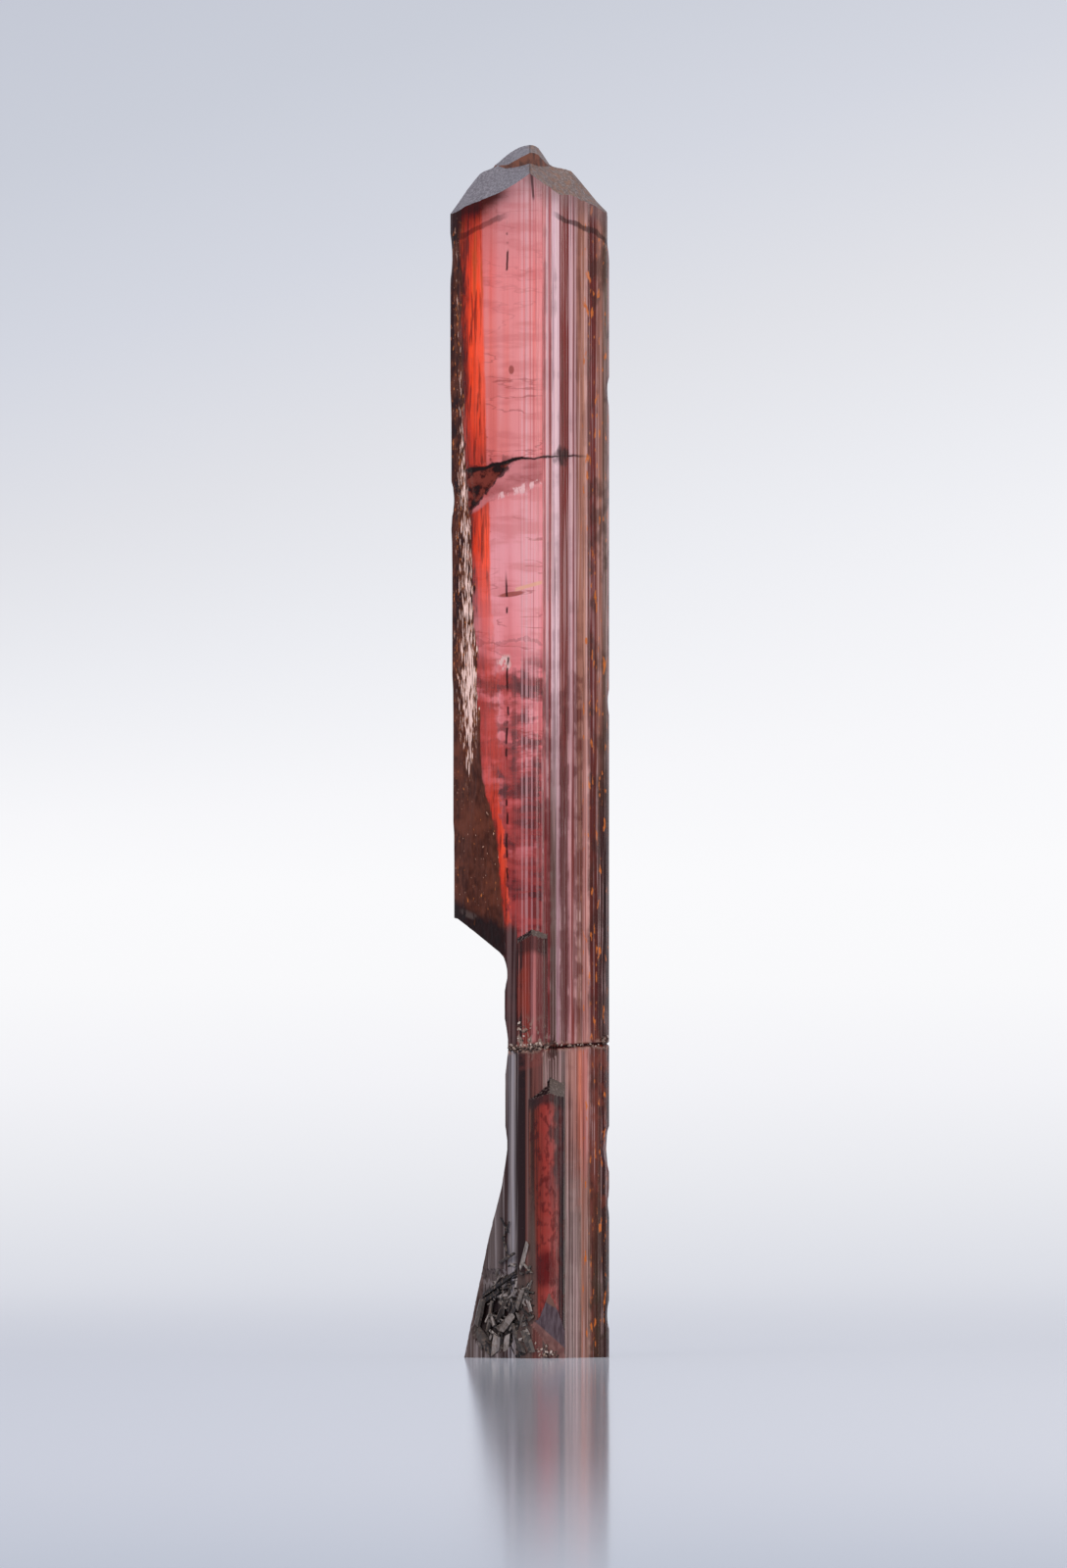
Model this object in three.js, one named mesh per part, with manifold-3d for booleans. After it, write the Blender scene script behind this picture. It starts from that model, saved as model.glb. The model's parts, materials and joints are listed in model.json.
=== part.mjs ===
// A tall prismatic crystal of vayrynenite, standing on its broken foot.
// One shaft with striated faces carries a hind peak, two smaller crystals that grew along its front
// and a nest of broken needles at its foot. All of them grew into each other, so they are one solid.
// Millimetres, +Z up, +X to the right and -Y towards the viewer. The origin is on the floor, at the
// middle of the crystal's box.
import * as THREE from "three";
import { LoftGeometry } from "three/addons/geometries/LoftGeometry.js";
import { mergeVertices } from "three/addons/utils/BufferGeometryUtils.js";
import Module from "manifold-3d";

const wasm = await Module();
wasm.setup();

// Driving dimensions
const HEIGHT = 60;
const HALF_WIDTH = 3.96;
const HALF_DEPTH = 3.05;
const BEYOND = 3; // how far a cutting tool reaches past the crystal
const FINEST_DETAIL = 0.004; // corners closer than this are one corner

// Plan of the shaft, counterclockwise from above, starting at the ridge that faces the viewer
const FRONT_RIDGE = [0, -2.5];
const RIGHT_STEPS = [
  [0.3, -2.44],
  [0.44, -2.36],
  [0.82, -2.28],
  [1.04, -2.02],
  [1.5, -1.9],
  [1.9, -1.46],
  [2.16, -1.38],
  [2.36, -1.14],
  [2.55, -1.08],
  [2.66, -0.92],
  [2.92, -0.84],
  [3.28, -0.46],
  [3.8, -0.02],
  [HALF_WIDTH, 0.4],
];
const BACK_CORNERS = {
  right: [3.86, 0.95],
  backRight: [1.6, 2.86],
  backLeft: [-1.25, HALF_DEPTH],
  left: [-3.7, 1.2],
};
const LEFT_FACE = [
  [-HALF_WIDTH, 0.35],
  [-3.8, -0.2],
  [-3.43, -0.65],
  [-2.4, -1.42],
  [-1.3, -2.05],
  [-0.75, -2.3],
  [-0.2, -2.46],
];
const BACK_STRIAE = { rightFace: 15, backFace: 11, leftFace: 17 };
const STRIA_DEPTH = 0.08;

// Terminations. Over each reach from its tip a roof falls by `across` to the sides and by `along` to the
// front and back, and by `corner` more where both meet. A `curve` of 1 keeps its faces flat.
const CORNER_CURVE = { across: 1.25, along: 1.8 };
const SHAFT_ROOF = {
  tip: [0, 0.3, 59.3],
  reach: { left: HALF_WIDTH, right: 3.75, front: 2.8, back: 2.75 },
  fall: { across: 2.8, along: 0.8, corner: 4.9 },
  curve: 2.5,
};
const PEAK_PLAN = [
  [0, -1.3],
  [0.5, -0.72],
  [1.07, 0.3],
  [0.95, 1.5],
  [0, 2.1],
  [-1.3, 1.75],
  [-1.89, 0.75],
  [-1.2, -0.3],
  [-0.5, -0.9],
];
const PEAK_FOOT = 57;
const PEAK_ROOF = {
  tip: [0, 0.5, HEIGHT],
  reach: { left: 1.89, right: 1.07, front: 1.8, back: 1.8 },
  fall: { across: 1.07, along: 0.48, corner: 3.4 },
  curve: 1.9,
};

// The two crystals that grew along the front
const UPPER_SIDE_PLAN = [
  [0.08, -2.8],
  [0.5, -2.66],
  [0.86, -2.5],
  [0.89, -1.2],
  [-0.6, -1.2],
  [-0.62, -2.58],
  [-0.3, -2.7],
];
const UPPER_SIDE_FOOT = 3.5;
const UPPER_SIDE_ROOF = {
  tip: [0.08, -2.15, 21.5],
  reach: { left: 0.7, right: 0.81, front: 0.65, back: 0.95 },
  fall: { across: 0.22, along: 0.85, corner: 0 },
  curve: 1,
};
const LOWER_SIDE_PLAN = [
  [0.96, -HALF_DEPTH],
  [1.4, -2.82],
  [1.74, -2.6],
  [1.76, -1],
  [-0.04, -1],
  [-0.07, -2.76],
  [0.4, -2.92],
];
const LOWER_SIDE_FOOT = 0;
const LOWER_SIDE_ROOF = {
  tip: [0.96, -2.15, 13.85],
  reach: { left: 1, right: 0.8, front: 0.9, back: 1.15 },
  fall: { across: 0.45, along: 0.85, corner: 0 },
  curve: 1,
};

// The brown flank at the left: two flat faces above the break, each through three points
const FLANK_FOOT = 20;
const FLANK_FACES = [
  [
    [-3.43, -0.65, 52.6],
    [-3.74, 0.3, 40],
    [-2.51, -1.35, 29.3],
  ],
  [
    [-2.51, -1.35, 29.3],
    [-3.62, 0.4, 24],
    [-1.3, -2.05, 20.9],
  ],
];

// Edge of the break that took away the lower left of the shaft, as x and z, from the lip down
const BREAK_EDGE = [
  [-3.62, 21.71],
  [-1.49, 20.02],
  [-1.25, 19.73],
  [-1.13, 19.14],
  [-1.13, 18.66],
  [-1.25, 18.27],
  [-1.25, 16.72],
  [-1.1, 15.85],
  [-1.1, 15.02],
  [-1.22, 14.05],
  [-1.22, 11.39],
  [-1.1, 10.5],
  [-1.39, 8.48],
  [-1.98, 6.16],
  [-2.6, 3.25],
  [-3.26, 0],
];

// The crack that runs right round the shaft below the lip
const SEAM = { z: 15.36, height: 0.2, inset: 0.035, tiltDegrees: 1.4, centre: [1.3, 0.2] };

// Conchoidal chips on the edges, and the pit under the high crack, each as x, y, z and radius
const CHIPS = [
  [HALF_WIDTH, 0.3, 47.7, 0.16],
  [HALF_WIDTH, 0.35, 55.3, 0.14],
  [HALF_WIDTH, 0.3, 32.5, 0.11],
  [HALF_WIDTH, 0.2, 10.35, 0.24],
  [HALF_WIDTH, 0.3, 7.6, 0.12],
  [HALF_WIDTH, 0.4, 2.1, 0.12],
  [-3.93, 0.25, 42.4, 0.22],
  [-3.96, 0.2, 54.4, 0.15],
  [-3.82, 0.3, 36.2, 0.1],
  [0.3, -2.6, 15.3, 0.3],
  [1.05, -2.15, 15.2, 0.24],
  [1.6, 2.86, 30.5, 0.3],
  [-1.25, HALF_DEPTH, 12.2, 0.35],
];
const PIT = {
  corners: [
    [-3.1, 44.2],
    [-0.85, 44.45],
    [-1.25, 43.75],
    [-2.75, 42.1],
  ],
  depth: 0.22,
};

// The nest of broken needles at the foot, in a shallow pocket of the left face
const POCKET = { centre: [-1.85, -1.72, 2.5], radii: [1.3, 0.4, 2.1] };
const NEST = {
  needles: 48,
  x: [-3, -0.2],
  z: [0.15, 6.2],
  length: [0.8, 2.1],
  radius: [0.09, 0.2],
  leanDegrees: 78,
  dipDegrees: 16,
  sunk: 0.14,
  seed: 11,
};
const FACE_SLOPE = 0.5; // how far the left face falls back for each millimetre to the left

const BROKEN_END = [
  [0.96, -HALF_DEPTH, 2.35],
  [-0.1, -2.7, 1.5],
  [1.2, -2.3, 0],
]; // the lower side crystal is broken off here, above the floor

const SHAFT_CAP_SHARES = [0.86, 0.7, 0.52, 0.34, 0.16, 0.03];
const SMALL_CAP_SHARES = [0.7, 0.4, 0.08];

const vector = ([x, y]) => new THREE.Vector2(x, y);
const point = ([x, y, z]) => new THREE.Vector3(x, y, z);

// Joining and cutting

// A closed three.js geometry as a solid that can be joined and cut.
function solidOf(geometry) {
  const bare = new THREE.BufferGeometry()
    .setAttribute("position", geometry.getAttribute("position"))
    .setIndex(geometry.getIndex());
  const merged = mergeVertices(bare, 1e-5);
  return new wasm.Manifold(
    new wasm.Mesh({
      numProp: 3,
      vertProperties: new Float32Array(merged.attributes.position.array),
      triVerts: new Uint32Array(merged.index.array),
    }),
  );
}

// A solid as a three.js geometry.
function geometryOf(solid) {
  const mesh = solid.getMesh();
  return new THREE.BufferGeometry()
    .setAttribute("position", new THREE.BufferAttribute(mesh.vertProperties, 3))
    .setIndex(new THREE.BufferAttribute(mesh.triVerts, 1));
}

// The solid inside the outermost surface, with the gaps sealed between crossing needles filled in.
function outerSkin(solid) {
  return solid.decompose().reduce((most, next) => (next.volume() > most.volume() ? next : most));
}

// Everything on the outer side of the plane through three points that run counterclockwise from outside.
function spaceOutside(corners) {
  const [a, b, c] = corners.map(point);
  const outward = new THREE.Plane().setFromCoplanarPoints(a, b, c).normal;
  const block = new THREE.BoxGeometry(3 * HEIGHT, 3 * HEIGHT, HEIGHT).translate(0, 0, HEIGHT / 2);
  const turn = new THREE.Quaternion().setFromUnitVectors(new THREE.Vector3(0, 0, 1), outward);
  return solidOf(block.applyQuaternion(turn).translate(a.x, a.y, a.z));
}

// A flat outline in x and z, pushed along y between two depths.
function slabAlongY(outline, nearY, farY) {
  const slab = new THREE.ExtrudeGeometry(new THREE.Shape(outline.map(vector)), {
    depth: farY - nearY,
    bevelEnabled: false,
  });
  return solidOf(slab.rotateX(Math.PI / 2).translate(0, farY, 0));
}

// Crystals

// Points of a striated face between two corners: it steps in and out again, with uneven treads.
function striate(start, end, steps) {
  const along = end.clone().sub(start);
  const outward = new THREE.Vector2(along.y, -along.x).normalize();
  return Array.from({ length: steps - 1 }, (_, i) => {
    const share = (i + 1 + 0.3 * Math.sin(2.4 * i)) / steps;
    const depth = i % 2 ? 0 : STRIA_DEPTH;
    return start.clone().addScaledVector(along, share).addScaledVector(outward, -depth);
  });
}

// The shaft's plan: the stepped right face, three striated faces behind and the smooth left face.
function shaftPlan() {
  const edge = vector(RIGHT_STEPS.at(-1));
  const right = vector(BACK_CORNERS.right);
  const backRight = vector(BACK_CORNERS.backRight);
  const backLeft = vector(BACK_CORNERS.backLeft);
  const left = vector(BACK_CORNERS.left);
  return [
    vector(FRONT_RIDGE),
    ...RIGHT_STEPS.slice(0, -1).map(vector),
    edge,
    right,
    ...striate(right, backRight, BACK_STRIAE.rightFace),
    backRight,
    ...striate(backRight, backLeft, BACK_STRIAE.backFace),
    backLeft,
    ...striate(backLeft, left, BACK_STRIAE.leftFace),
    left,
    ...LEFT_FACE.map(vector),
  ];
}

// Height of a roof over a point of the plan.
function roofHeight({ tip, reach, fall, curve }, x, y) {
  const across = Math.abs(x - tip[0]) / (x < tip[0] ? reach.left : reach.right);
  const along = Math.abs(y - tip[1]) / (y < tip[1] ? reach.front : reach.back);
  const corner = across ** CORNER_CURVE.across * along ** CORNER_CURVE.along;
  return tip[2] - fall.across * across ** curve - fall.along * along ** curve - fall.corner * corner;
}

// A prism on a plan, from its foot up to its roof. The roof closes in rings towards the tip.
function crystal(plan, foot, roof, capShares) {
  const ring = (share, height) =>
    plan.map((corner) => {
      const x = THREE.MathUtils.lerp(roof.tip[0], corner.x, share);
      const y = THREE.MathUtils.lerp(roof.tip[1], corner.y, share);
      return new THREE.Vector3(x, y, height ?? roofHeight(roof, x, y));
    });
  const sections = [ring(1, foot), ring(1), ...capShares.map((share) => ring(share))];
  return solidOf(new LoftGeometry(sections, { capStart: true, capEnd: true }));
}

// One shaft with its hind peak, its flank faces and the break at its lower left.
function shaft() {
  const breakOutline = [[-HALF_WIDTH - BEYOND, 0], [-HALF_WIDTH - BEYOND, 24.37], ...BREAK_EDGE];
  const breakTool = slabAlongY(
    [...breakOutline, [-3.26, -BEYOND], [-HALF_WIDTH - BEYOND, -BEYOND]],
    -HALF_DEPTH - BEYOND,
    HALF_DEPTH + BEYOND,
  );
  let made = crystal(shaftPlan(), 0, SHAFT_ROOF, SHAFT_CAP_SHARES);
  const aboveBreak = solidOf(
    new THREE.BoxGeometry(3 * HEIGHT, 3 * HEIGHT, HEIGHT).translate(0, 0, FLANK_FOOT + HEIGHT / 2),
  );
  for (const face of FLANK_FACES) made = made.subtract(spaceOutside(face).intersect(aboveBreak));
  made = made.add(crystal(PEAK_PLAN.map(vector), PEAK_FOOT, PEAK_ROOF, SMALL_CAP_SHARES));
  return made.subtract(breakTool);
}

// The lower side crystal, broken off obliquely above the floor.
function lowerSideCrystal() {
  const whole = crystal(LOWER_SIDE_PLAN.map(vector), LOWER_SIDE_FOOT, LOWER_SIDE_ROOF, SMALL_CAP_SHARES);
  return whole.subtract(spaceOutside(BROKEN_END));
}

// Broken surfaces

// A steady stream of numbers from 0 to 1.
function randomStream(seed) {
  let state = seed;
  return () => {
    state = (state * 16807) % 2147483647;
    return state / 2147483647;
  };
}

// Broken needles that lie across each other on the left face.
function needleNest() {
  const random = randomStream(NEST.seed);
  const between = ([low, high]) => low + (high - low) * random();
  const needles = [];
  for (let i = 0; i < NEST.needles; i += 1) {
    const z = between(NEST.z);
    const breakX = -3.2 + 0.33 * z;
    const x = Math.max(between(NEST.x), breakX + 0.25);
    const length = between(NEST.length);
    const radius = between(NEST.radius);
    const lean = THREE.MathUtils.degToRad(NEST.leanDegrees) * (2 * random() - 1);
    const dip = THREE.MathUtils.degToRad(NEST.dipDegrees) * (2 * random() - 1);
    const faceY = FRONT_RIDGE[1] - FACE_SLOPE * x;
    const needle = new THREE.CylinderGeometry(0.75 * radius, radius, length, 6, 1)
      .rotateY(random() * Math.PI)
      .rotateX(Math.PI / 2 + dip)
      .rotateY(lean)
      .rotateZ(Math.atan(-FACE_SLOPE))
      .translate(x, faceY + NEST.sunk, z);
    needles.push(solidOf(needle));
  }
  return needles.reduce((all, needle) => all.add(needle));
}

// The pocket that the needles lie in.
function pocket() {
  const ball = new THREE.IcosahedronGeometry(1, 1).scale(...POCKET.radii);
  return solidOf(ball.rotateZ(Math.atan(-FACE_SLOPE)).translate(...POCKET.centre));
}

// A shallow pit in the left face, under the high crack.
function pit() {
  const x = (PIT.corners[0][0] + PIT.corners[1][0]) / 2;
  const faceY = FRONT_RIDGE[1] - FACE_SLOPE * x;
  const upright = slabAlongY(
    PIT.corners.map(([cornerX, z]) => [cornerX - x, z]),
    -BEYOND,
    PIT.depth,
  );
  return solidOf(geometryOf(upright).rotateZ(Math.atan(-FACE_SLOPE)).translate(x, faceY, 0));
}

// A small many-sided bite out of an edge.
function chip([x, y, z, radius]) {
  return solidOf(new THREE.IcosahedronGeometry(radius, 0).scale(1, 1, 1.6).translate(x, y, z));
}

// The crack round the shaft: a thin slice of the solid, drawn in a little on all sides.
function cutSeam(solid) {
  const slice = new THREE.BoxGeometry(6 * HALF_WIDTH, 6 * HALF_DEPTH, SEAM.height)
    .rotateY(-THREE.MathUtils.degToRad(SEAM.tiltDegrees))
    .translate(SEAM.centre[0], SEAM.centre[1], SEAM.z);
  const sliceTool = solidOf(slice);
  const [x, y] = SEAM.centre;
  const keep = 1 - SEAM.inset;
  const drawnIn = geometryOf(solid.intersect(sliceTool))
    .translate(-x, -y, -SEAM.z)
    .scale(keep, keep, 1.2)
    .translate(x, y, SEAM.z);
  return solid.subtract(sliceTool).add(solidOf(drawnIn));
}

function vayrynenite() {
  let made = shaft()
    .add(crystal(UPPER_SIDE_PLAN.map(vector), UPPER_SIDE_FOOT, UPPER_SIDE_ROOF, SMALL_CAP_SHARES))
    .subtract(pocket())
    .add(lowerSideCrystal())
    .add(needleNest())
    .subtract(pit());
  made = cutSeam(made);
  for (const spot of CHIPS) made = made.subtract(chip(spot));
  const underFloor = new THREE.BoxGeometry(6 * HALF_WIDTH, 6 * HALF_DEPTH, HEIGHT);
  made = made.subtract(solidOf(underFloor.translate(0, 0, -HEIGHT / 2))).simplify(FINEST_DETAIL);
  return outerSkin(made);
}

const gem = new THREE.MeshStandardMaterial({ color: 0xb8464a, roughness: 0.28, metalness: 0 });
const body = new THREE.Mesh(geometryOf(vayrynenite()), gem);
body.name = "crystal";

const part = new THREE.Group();
part.add(body);

export default part;
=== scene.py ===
"""The looks of a tall vayrynenite crystal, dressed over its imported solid.

The crystal is one closed surface: the distance from an upright line, as a function of angle and height.
Flat faces limit that distance, and side crystals push it out. Needles and crumbs are joined meshes from
arrays. Sizes are millimetres, with +Z up, +X to the right and -Y towards the viewer.
"""

from __future__ import annotations

import json
import logging
import math
from dataclasses import dataclass, field
from enum import Enum, IntEnum

import bpy
import numpy as np
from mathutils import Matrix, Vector

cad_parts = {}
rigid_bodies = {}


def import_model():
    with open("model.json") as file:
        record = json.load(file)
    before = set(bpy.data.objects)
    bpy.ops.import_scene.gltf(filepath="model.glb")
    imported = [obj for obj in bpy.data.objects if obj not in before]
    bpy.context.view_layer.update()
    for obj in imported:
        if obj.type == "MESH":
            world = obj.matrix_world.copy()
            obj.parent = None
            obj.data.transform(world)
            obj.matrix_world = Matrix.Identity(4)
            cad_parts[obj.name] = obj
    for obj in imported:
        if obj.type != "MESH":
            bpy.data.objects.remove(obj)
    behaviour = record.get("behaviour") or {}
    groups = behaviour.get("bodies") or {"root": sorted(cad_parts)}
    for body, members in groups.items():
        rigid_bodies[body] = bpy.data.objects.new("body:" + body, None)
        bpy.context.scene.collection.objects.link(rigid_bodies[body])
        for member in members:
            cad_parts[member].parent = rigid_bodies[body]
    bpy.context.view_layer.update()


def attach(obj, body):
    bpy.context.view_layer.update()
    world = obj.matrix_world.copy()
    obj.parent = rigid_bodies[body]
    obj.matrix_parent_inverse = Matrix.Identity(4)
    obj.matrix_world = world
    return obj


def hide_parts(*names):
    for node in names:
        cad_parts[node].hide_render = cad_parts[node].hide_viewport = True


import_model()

LOG = logging.getLogger("crystal")
MM = 0.001
FAR = 1.0e6
IMAGE_SIZE = (1089, 1600)

Colour = tuple[float, float, float, float]
Point = tuple[float, float]
Spot = tuple[float, float, float]


def rgb(red: int, green: int, stump_grey_and_reflection: int) -> Colour:
    """A screen colour, 0 to 255, as the linear colour that shaders use.

    Args:
        red: Red as seen on a screen.
        green: Green as seen on a screen.
        stump_grey_and_reflection: Blue as seen on a screen.

    Returns:
        Linear red, green, blue and an opacity of 1.
    """
    share = np.array((red, green, stump_grey_and_reflection)) / 255.0
    linear = np.where(share <= 0.04045, share / 12.92, ((share + 0.055) / 1.055) ** 2.4)
    return (*linear.tolist(), 1.0)


class Op(Enum):
    """What a Math node does."""

    ADD = "ADD"
    SUBTRACT = "SUBTRACT"
    MULTIPLY = "MULTIPLY"
    DIVIDE = "DIVIDE"
    POWER = "POWER"
    MAXIMUM = "MAXIMUM"
    ABSOLUTE = "ABSOLUTE"


class VectorOp(Enum):
    """What a Vector Math node does to a colour or a place."""

    MULTIPLY = "MULTIPLY"
    SUBTRACT = "SUBTRACT"
    MAXIMUM = "MAXIMUM"
    SCALE = "SCALE"
    LENGTH = "LENGTH"


@dataclass(frozen=True)
class Field:
    """A socket whose value varies over a surface, with the arithmetic of a number."""

    shader: Shader
    socket: bpy.types.NodeSocket

    def __add__(self, other: Field | float) -> Field:
        """This value plus another."""
        return self.shader.math(Op.ADD, self, other)

    def __radd__(self, other: float) -> Field:
        """A number plus this value."""
        return self.shader.math(Op.ADD, other, self)

    def __sub__(self, other: Field | float) -> Field:
        """This value less another."""
        return self.shader.math(Op.SUBTRACT, self, other)

    def __rsub__(self, other: float) -> Field:
        """A number less this value."""
        return self.shader.math(Op.SUBTRACT, other, self)

    def __mul__(self, other: Field | float) -> Field:
        """This value times another."""
        return self.shader.math(Op.MULTIPLY, self, other)

    def __rmul__(self, other: float) -> Field:
        """A number times this value."""
        return self.shader.math(Op.MULTIPLY, other, self)

    def __truediv__(self, other: Field | float) -> Field:
        """This value over another."""
        return self.shader.math(Op.DIVIDE, self, other)

    def __rtruediv__(self, other: float) -> Field:
        """A number over this value."""
        return self.shader.math(Op.DIVIDE, other, self)

    def __pow__(self, other: float) -> Field:
        """This value to a power."""
        return self.shader.math(Op.POWER, self, other)

    def __abs__(self) -> Field:
        """This value without its sign."""
        return self.shader.math(Op.ABSOLUTE, self, 0.0)

    def __or__(self, other: Field) -> Field:
        """The larger of two masks."""
        return self.shader.math(Op.MAXIMUM, self, other)


class Shader:
    """A node tree that grows by expressions on its fields."""

    def __init__(self, tree: bpy.types.NodeTree) -> None:
        """Empties the tree, so that only what is written here is in it."""
        self.tree = tree
        tree.nodes.clear()

    def node(
        self,
        kind: str,
        settings: dict[str, object] | None = None,
        values: dict[int | str, object] | None = None,
        output: int | str = 0,
    ) -> Field:
        """Adds a node, sets it up and feeds its sockets.

        Args:
            kind: The node's type.
            settings: Its properties. `stops` fills a colour ramp and `points` a curve.
            values: A number, a colour or a field for each named or numbered socket.
            output: The socket that the result is read from.

        Returns:
            The field at that output.
        """
        made = self.tree.nodes.new(kind)
        for name, value in (settings or {}).items():
            if name == "stops":
                self._fill_ramp(made.color_ramp, value)
            elif name == "points":
                self._fill_curve(made.mapping, value)
            else:
                setattr(made, name, value)
        for name, value in (values or {}).items():
            if isinstance(value, Field):
                self.tree.links.new(value.socket, made.inputs[name])
            else:
                made.inputs[name].default_value = value
        return Field(self, made.outputs[output]) if len(made.outputs) else Field(self, None)

    @staticmethod
    def _fill_ramp(ramp: bpy.types.ColorRamp, stops: list[tuple[float, Colour]]) -> None:
        """Puts the stops on a colour ramp.

        Args:
            ramp: The ramp of a new node, which has two stops.
            stops: Places from 0 to 1, in order, with their colours.
        """
        while len(ramp.elements) < len(stops):
            ramp.elements.new(1.0)
        for element, (place, colour) in zip(ramp.elements, stops):
            element.position = place
            element.color = colour

    @staticmethod
    def _fill_curve(mapping: bpy.types.CurveMapping, points: list[Point]) -> None:
        """Puts straight runs between points on a curve.

        Args:
            mapping: The curve of a new node, which has two points.
            points: Places and values from 0 to 1, in order.
        """
        curve = mapping.curves[0]
        while len(curve.points) < len(points):
            curve.points.new(0.5, 0.5)
        for spot, place in zip(curve.points, points):
            spot.location = place
            spot.handle_type = "VECTOR"
        mapping.update()

    def math(self, op: Op, a: Field | float, b: Field | float) -> Field:
        """One step of arithmetic."""
        return self.node("ShaderNodeMath", {"operation": op.value}, {0: a, 1: b})

    def vector(self, op: VectorOp, a: Field, b: Spot) -> Field:
        """One step of arithmetic on a colour or a place."""
        return self.node("ShaderNodeVectorMath", {"operation": op.value}, {0: a, 1: b})

    def mix(self, share: Field | float, under: Field | Colour, over: Field | Colour) -> Field:
        """One colour laid over another.

        Args:
            share: How much of the upper colour shows, from 0 to 1.
            under: The lower colour.
            over: The upper colour.

        Returns:
            The colour that results.
        """
        return self.node("ShaderNodeMix", {"data_type": "RGBA"}, {0: share, 6: under, 7: over}, 2)

    def rise(self, value: Field, edge: Field | float, soft: float) -> Field:
        """A smooth step from 0 to 1 where a value passes an edge.

        Args:
            value: What is measured.
            edge: Where the step is.
            soft: Half the width of the step.

        Returns:
            The step, from 0 to 1.
        """
        past = value - edge
        setup = {"interpolation_type": "SMOOTHSTEP"}
        return self.node("ShaderNodeMapRange", setup, {0: past, 1: -soft, 2: soft, 3: 0.0, 4: 1.0})

    def fall(self, value: Field, edge: Field | float, soft: float) -> Field:
        """A smooth step from 1 to 0 where a value passes an edge."""
        return 1.0 - self.rise(value, edge, soft)

    def band(self, value: Field, low: Field | float, high: Field | float, soft: float) -> Field:
        """A mask that is 1 between two edges."""
        return self.rise(value, low, soft) * self.fall(value, high, soft)

    def line(self, value: Field, place: Field | float, half: float) -> Field:
        """A mask that is 1 on a line and fades out over twice its half width."""
        return self.fall(abs(value - place), half * 1.5, half * 0.5)

    def profile(self, value: Field, points: list[Point]) -> Field:
        """Straight runs through given points, as a function of a value.

        Args:
            value: What the points' first numbers measure.
            points: Pairs of a place and a result, in order of place.

        Returns:
            The result at that value.
        """
        places, results = np.array(points).T
        low, high = results.min(), results.max() + 1.0e-4
        unit = [
            (float((p - places[0]) / np.ptp(places)), float((r - low) / (high - low)))
            for p, r in points
        ]
        share = self.node(
            "ShaderNodeMapRange", {}, {0: value, 1: float(places[0]), 2: float(places[-1])}
        )
        curve = self.node("ShaderNodeFloatCurve", {"points": unit}, {1: share})
        return curve * float(high - low) + float(low)

    def ramp(self, value: Field, stops: list[tuple[float, Colour]]) -> Field:
        """Colours along a value.

        Args:
            value: What the stops' places measure.
            stops: Places and colours, in order of place.

        Returns:
            The colour at that value.
        """
        low, high = stops[0][0], stops[-1][0]
        unit = [((place - low) / (high - low), colour) for place, colour in stops]
        share = self.node("ShaderNodeMapRange", {}, {0: value, 1: low, 2: high})
        return self.node("ShaderNodeValToRGB", {"stops": unit}, {0: share})

    def attribute(self, name: str) -> Field:
        """A number kept on each face of the mesh."""
        return self.node("ShaderNodeAttribute", {"attribute_name": name}, {}, "Fac")


class Grain:
    """Noise on a piece's own coordinates, in millimetres, with a different size across and along."""

    def __init__(self, shader: Shader) -> None:
        """Reads the piece's coordinates once, for every pattern.

        Args:
            shader: The material's node tree.
        """
        self.shader = shader
        place = shader.node("ShaderNodeTexCoord", {}, {}, "Object")
        scale = {"operation": VectorOp.SCALE.value}
        scaled = shader.node("ShaderNodeVectorMath", scale, {0: place, "Scale": 1.0 / MM})
        self.place = scaled
        self.x = shader.node("ShaderNodeSeparateXYZ", {}, {0: scaled}, "X")
        self.y = shader.node("ShaderNodeSeparateXYZ", {}, {0: scaled}, "Y")
        self.z = shader.node("ShaderNodeSeparateXYZ", {}, {0: scaled}, "Z")

    def noise(self, across: float, along: float, detail: float = 3.0, seed: float = 0.0) -> Field:
        """Soft noise, from 0 to 1.

        Args:
            across: Cells per millimetre in x and y.
            along: Cells per millimetre in z.
            detail: Finer layers.
            seed: Shifts the pattern.

        Returns:
            The noise.
        """
        spread = self.shader.node(
            "ShaderNodeMapping",
            {},
            {
                "Vector": self.place,
                "Scale": (across, across, along),
                "Location": (seed, 2.0 * seed, 3.0 * seed),
            },
        )
        return self.shader.node("ShaderNodeTexNoise", {}, {"Vector": spread, "Scale": 1.0, "Detail": detail})


class Region(IntEnum):
    """Which surface of the crystal a face belongs to."""

    SHAFT = 0
    FLANK = 1
    UPPER = 2
    LOWER = 3
    ROOF = 4
    BREAK = 5
    STUMP = 6
    CAP = 7
    RISER = 8


@dataclass(frozen=True)
class Face:
    """A flat face: the solid is where the dot product with `outward` is at most `reach`."""

    outward: Spot
    reach: float
    region: Region

    @classmethod
    def through(cls, a: Spot, b: Spot, c: Spot, region: Region) -> Face:
        """The face through three points that run counterclockwise from outside."""
        normal = np.cross(np.subtract(b, a), np.subtract(c, a))
        return cls(tuple(normal), float(normal @ np.array(a)), region)

    def limits(self, angle: np.ndarray, height: np.ndarray, axis: Point) -> tuple[np.ndarray, np.ndarray]:
        """Where level rays from the axis come into and go out of the solid side.

        The ray's distance at the plane is (reach - outward . axis point) / (outward . ray).

        Args:
            angle: Direction of each ray.
            height: Height of each ray.
            axis: Plan position of the axis.

        Returns:
            The distance where each ray comes in, and the one where it goes out.
        """
        nx, ny, nz = self.outward
        steep = nx * np.cos(angle) + ny * np.sin(angle)
        room = self.reach - nx * axis[0] - ny * axis[1] - nz * height
        distance = room / np.where(np.abs(steep) < 1.0e-9, 1.0e-9, steep)
        return np.where(steep < 0, distance, -FAR), np.where(steep > 0, distance, FAR)


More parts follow.
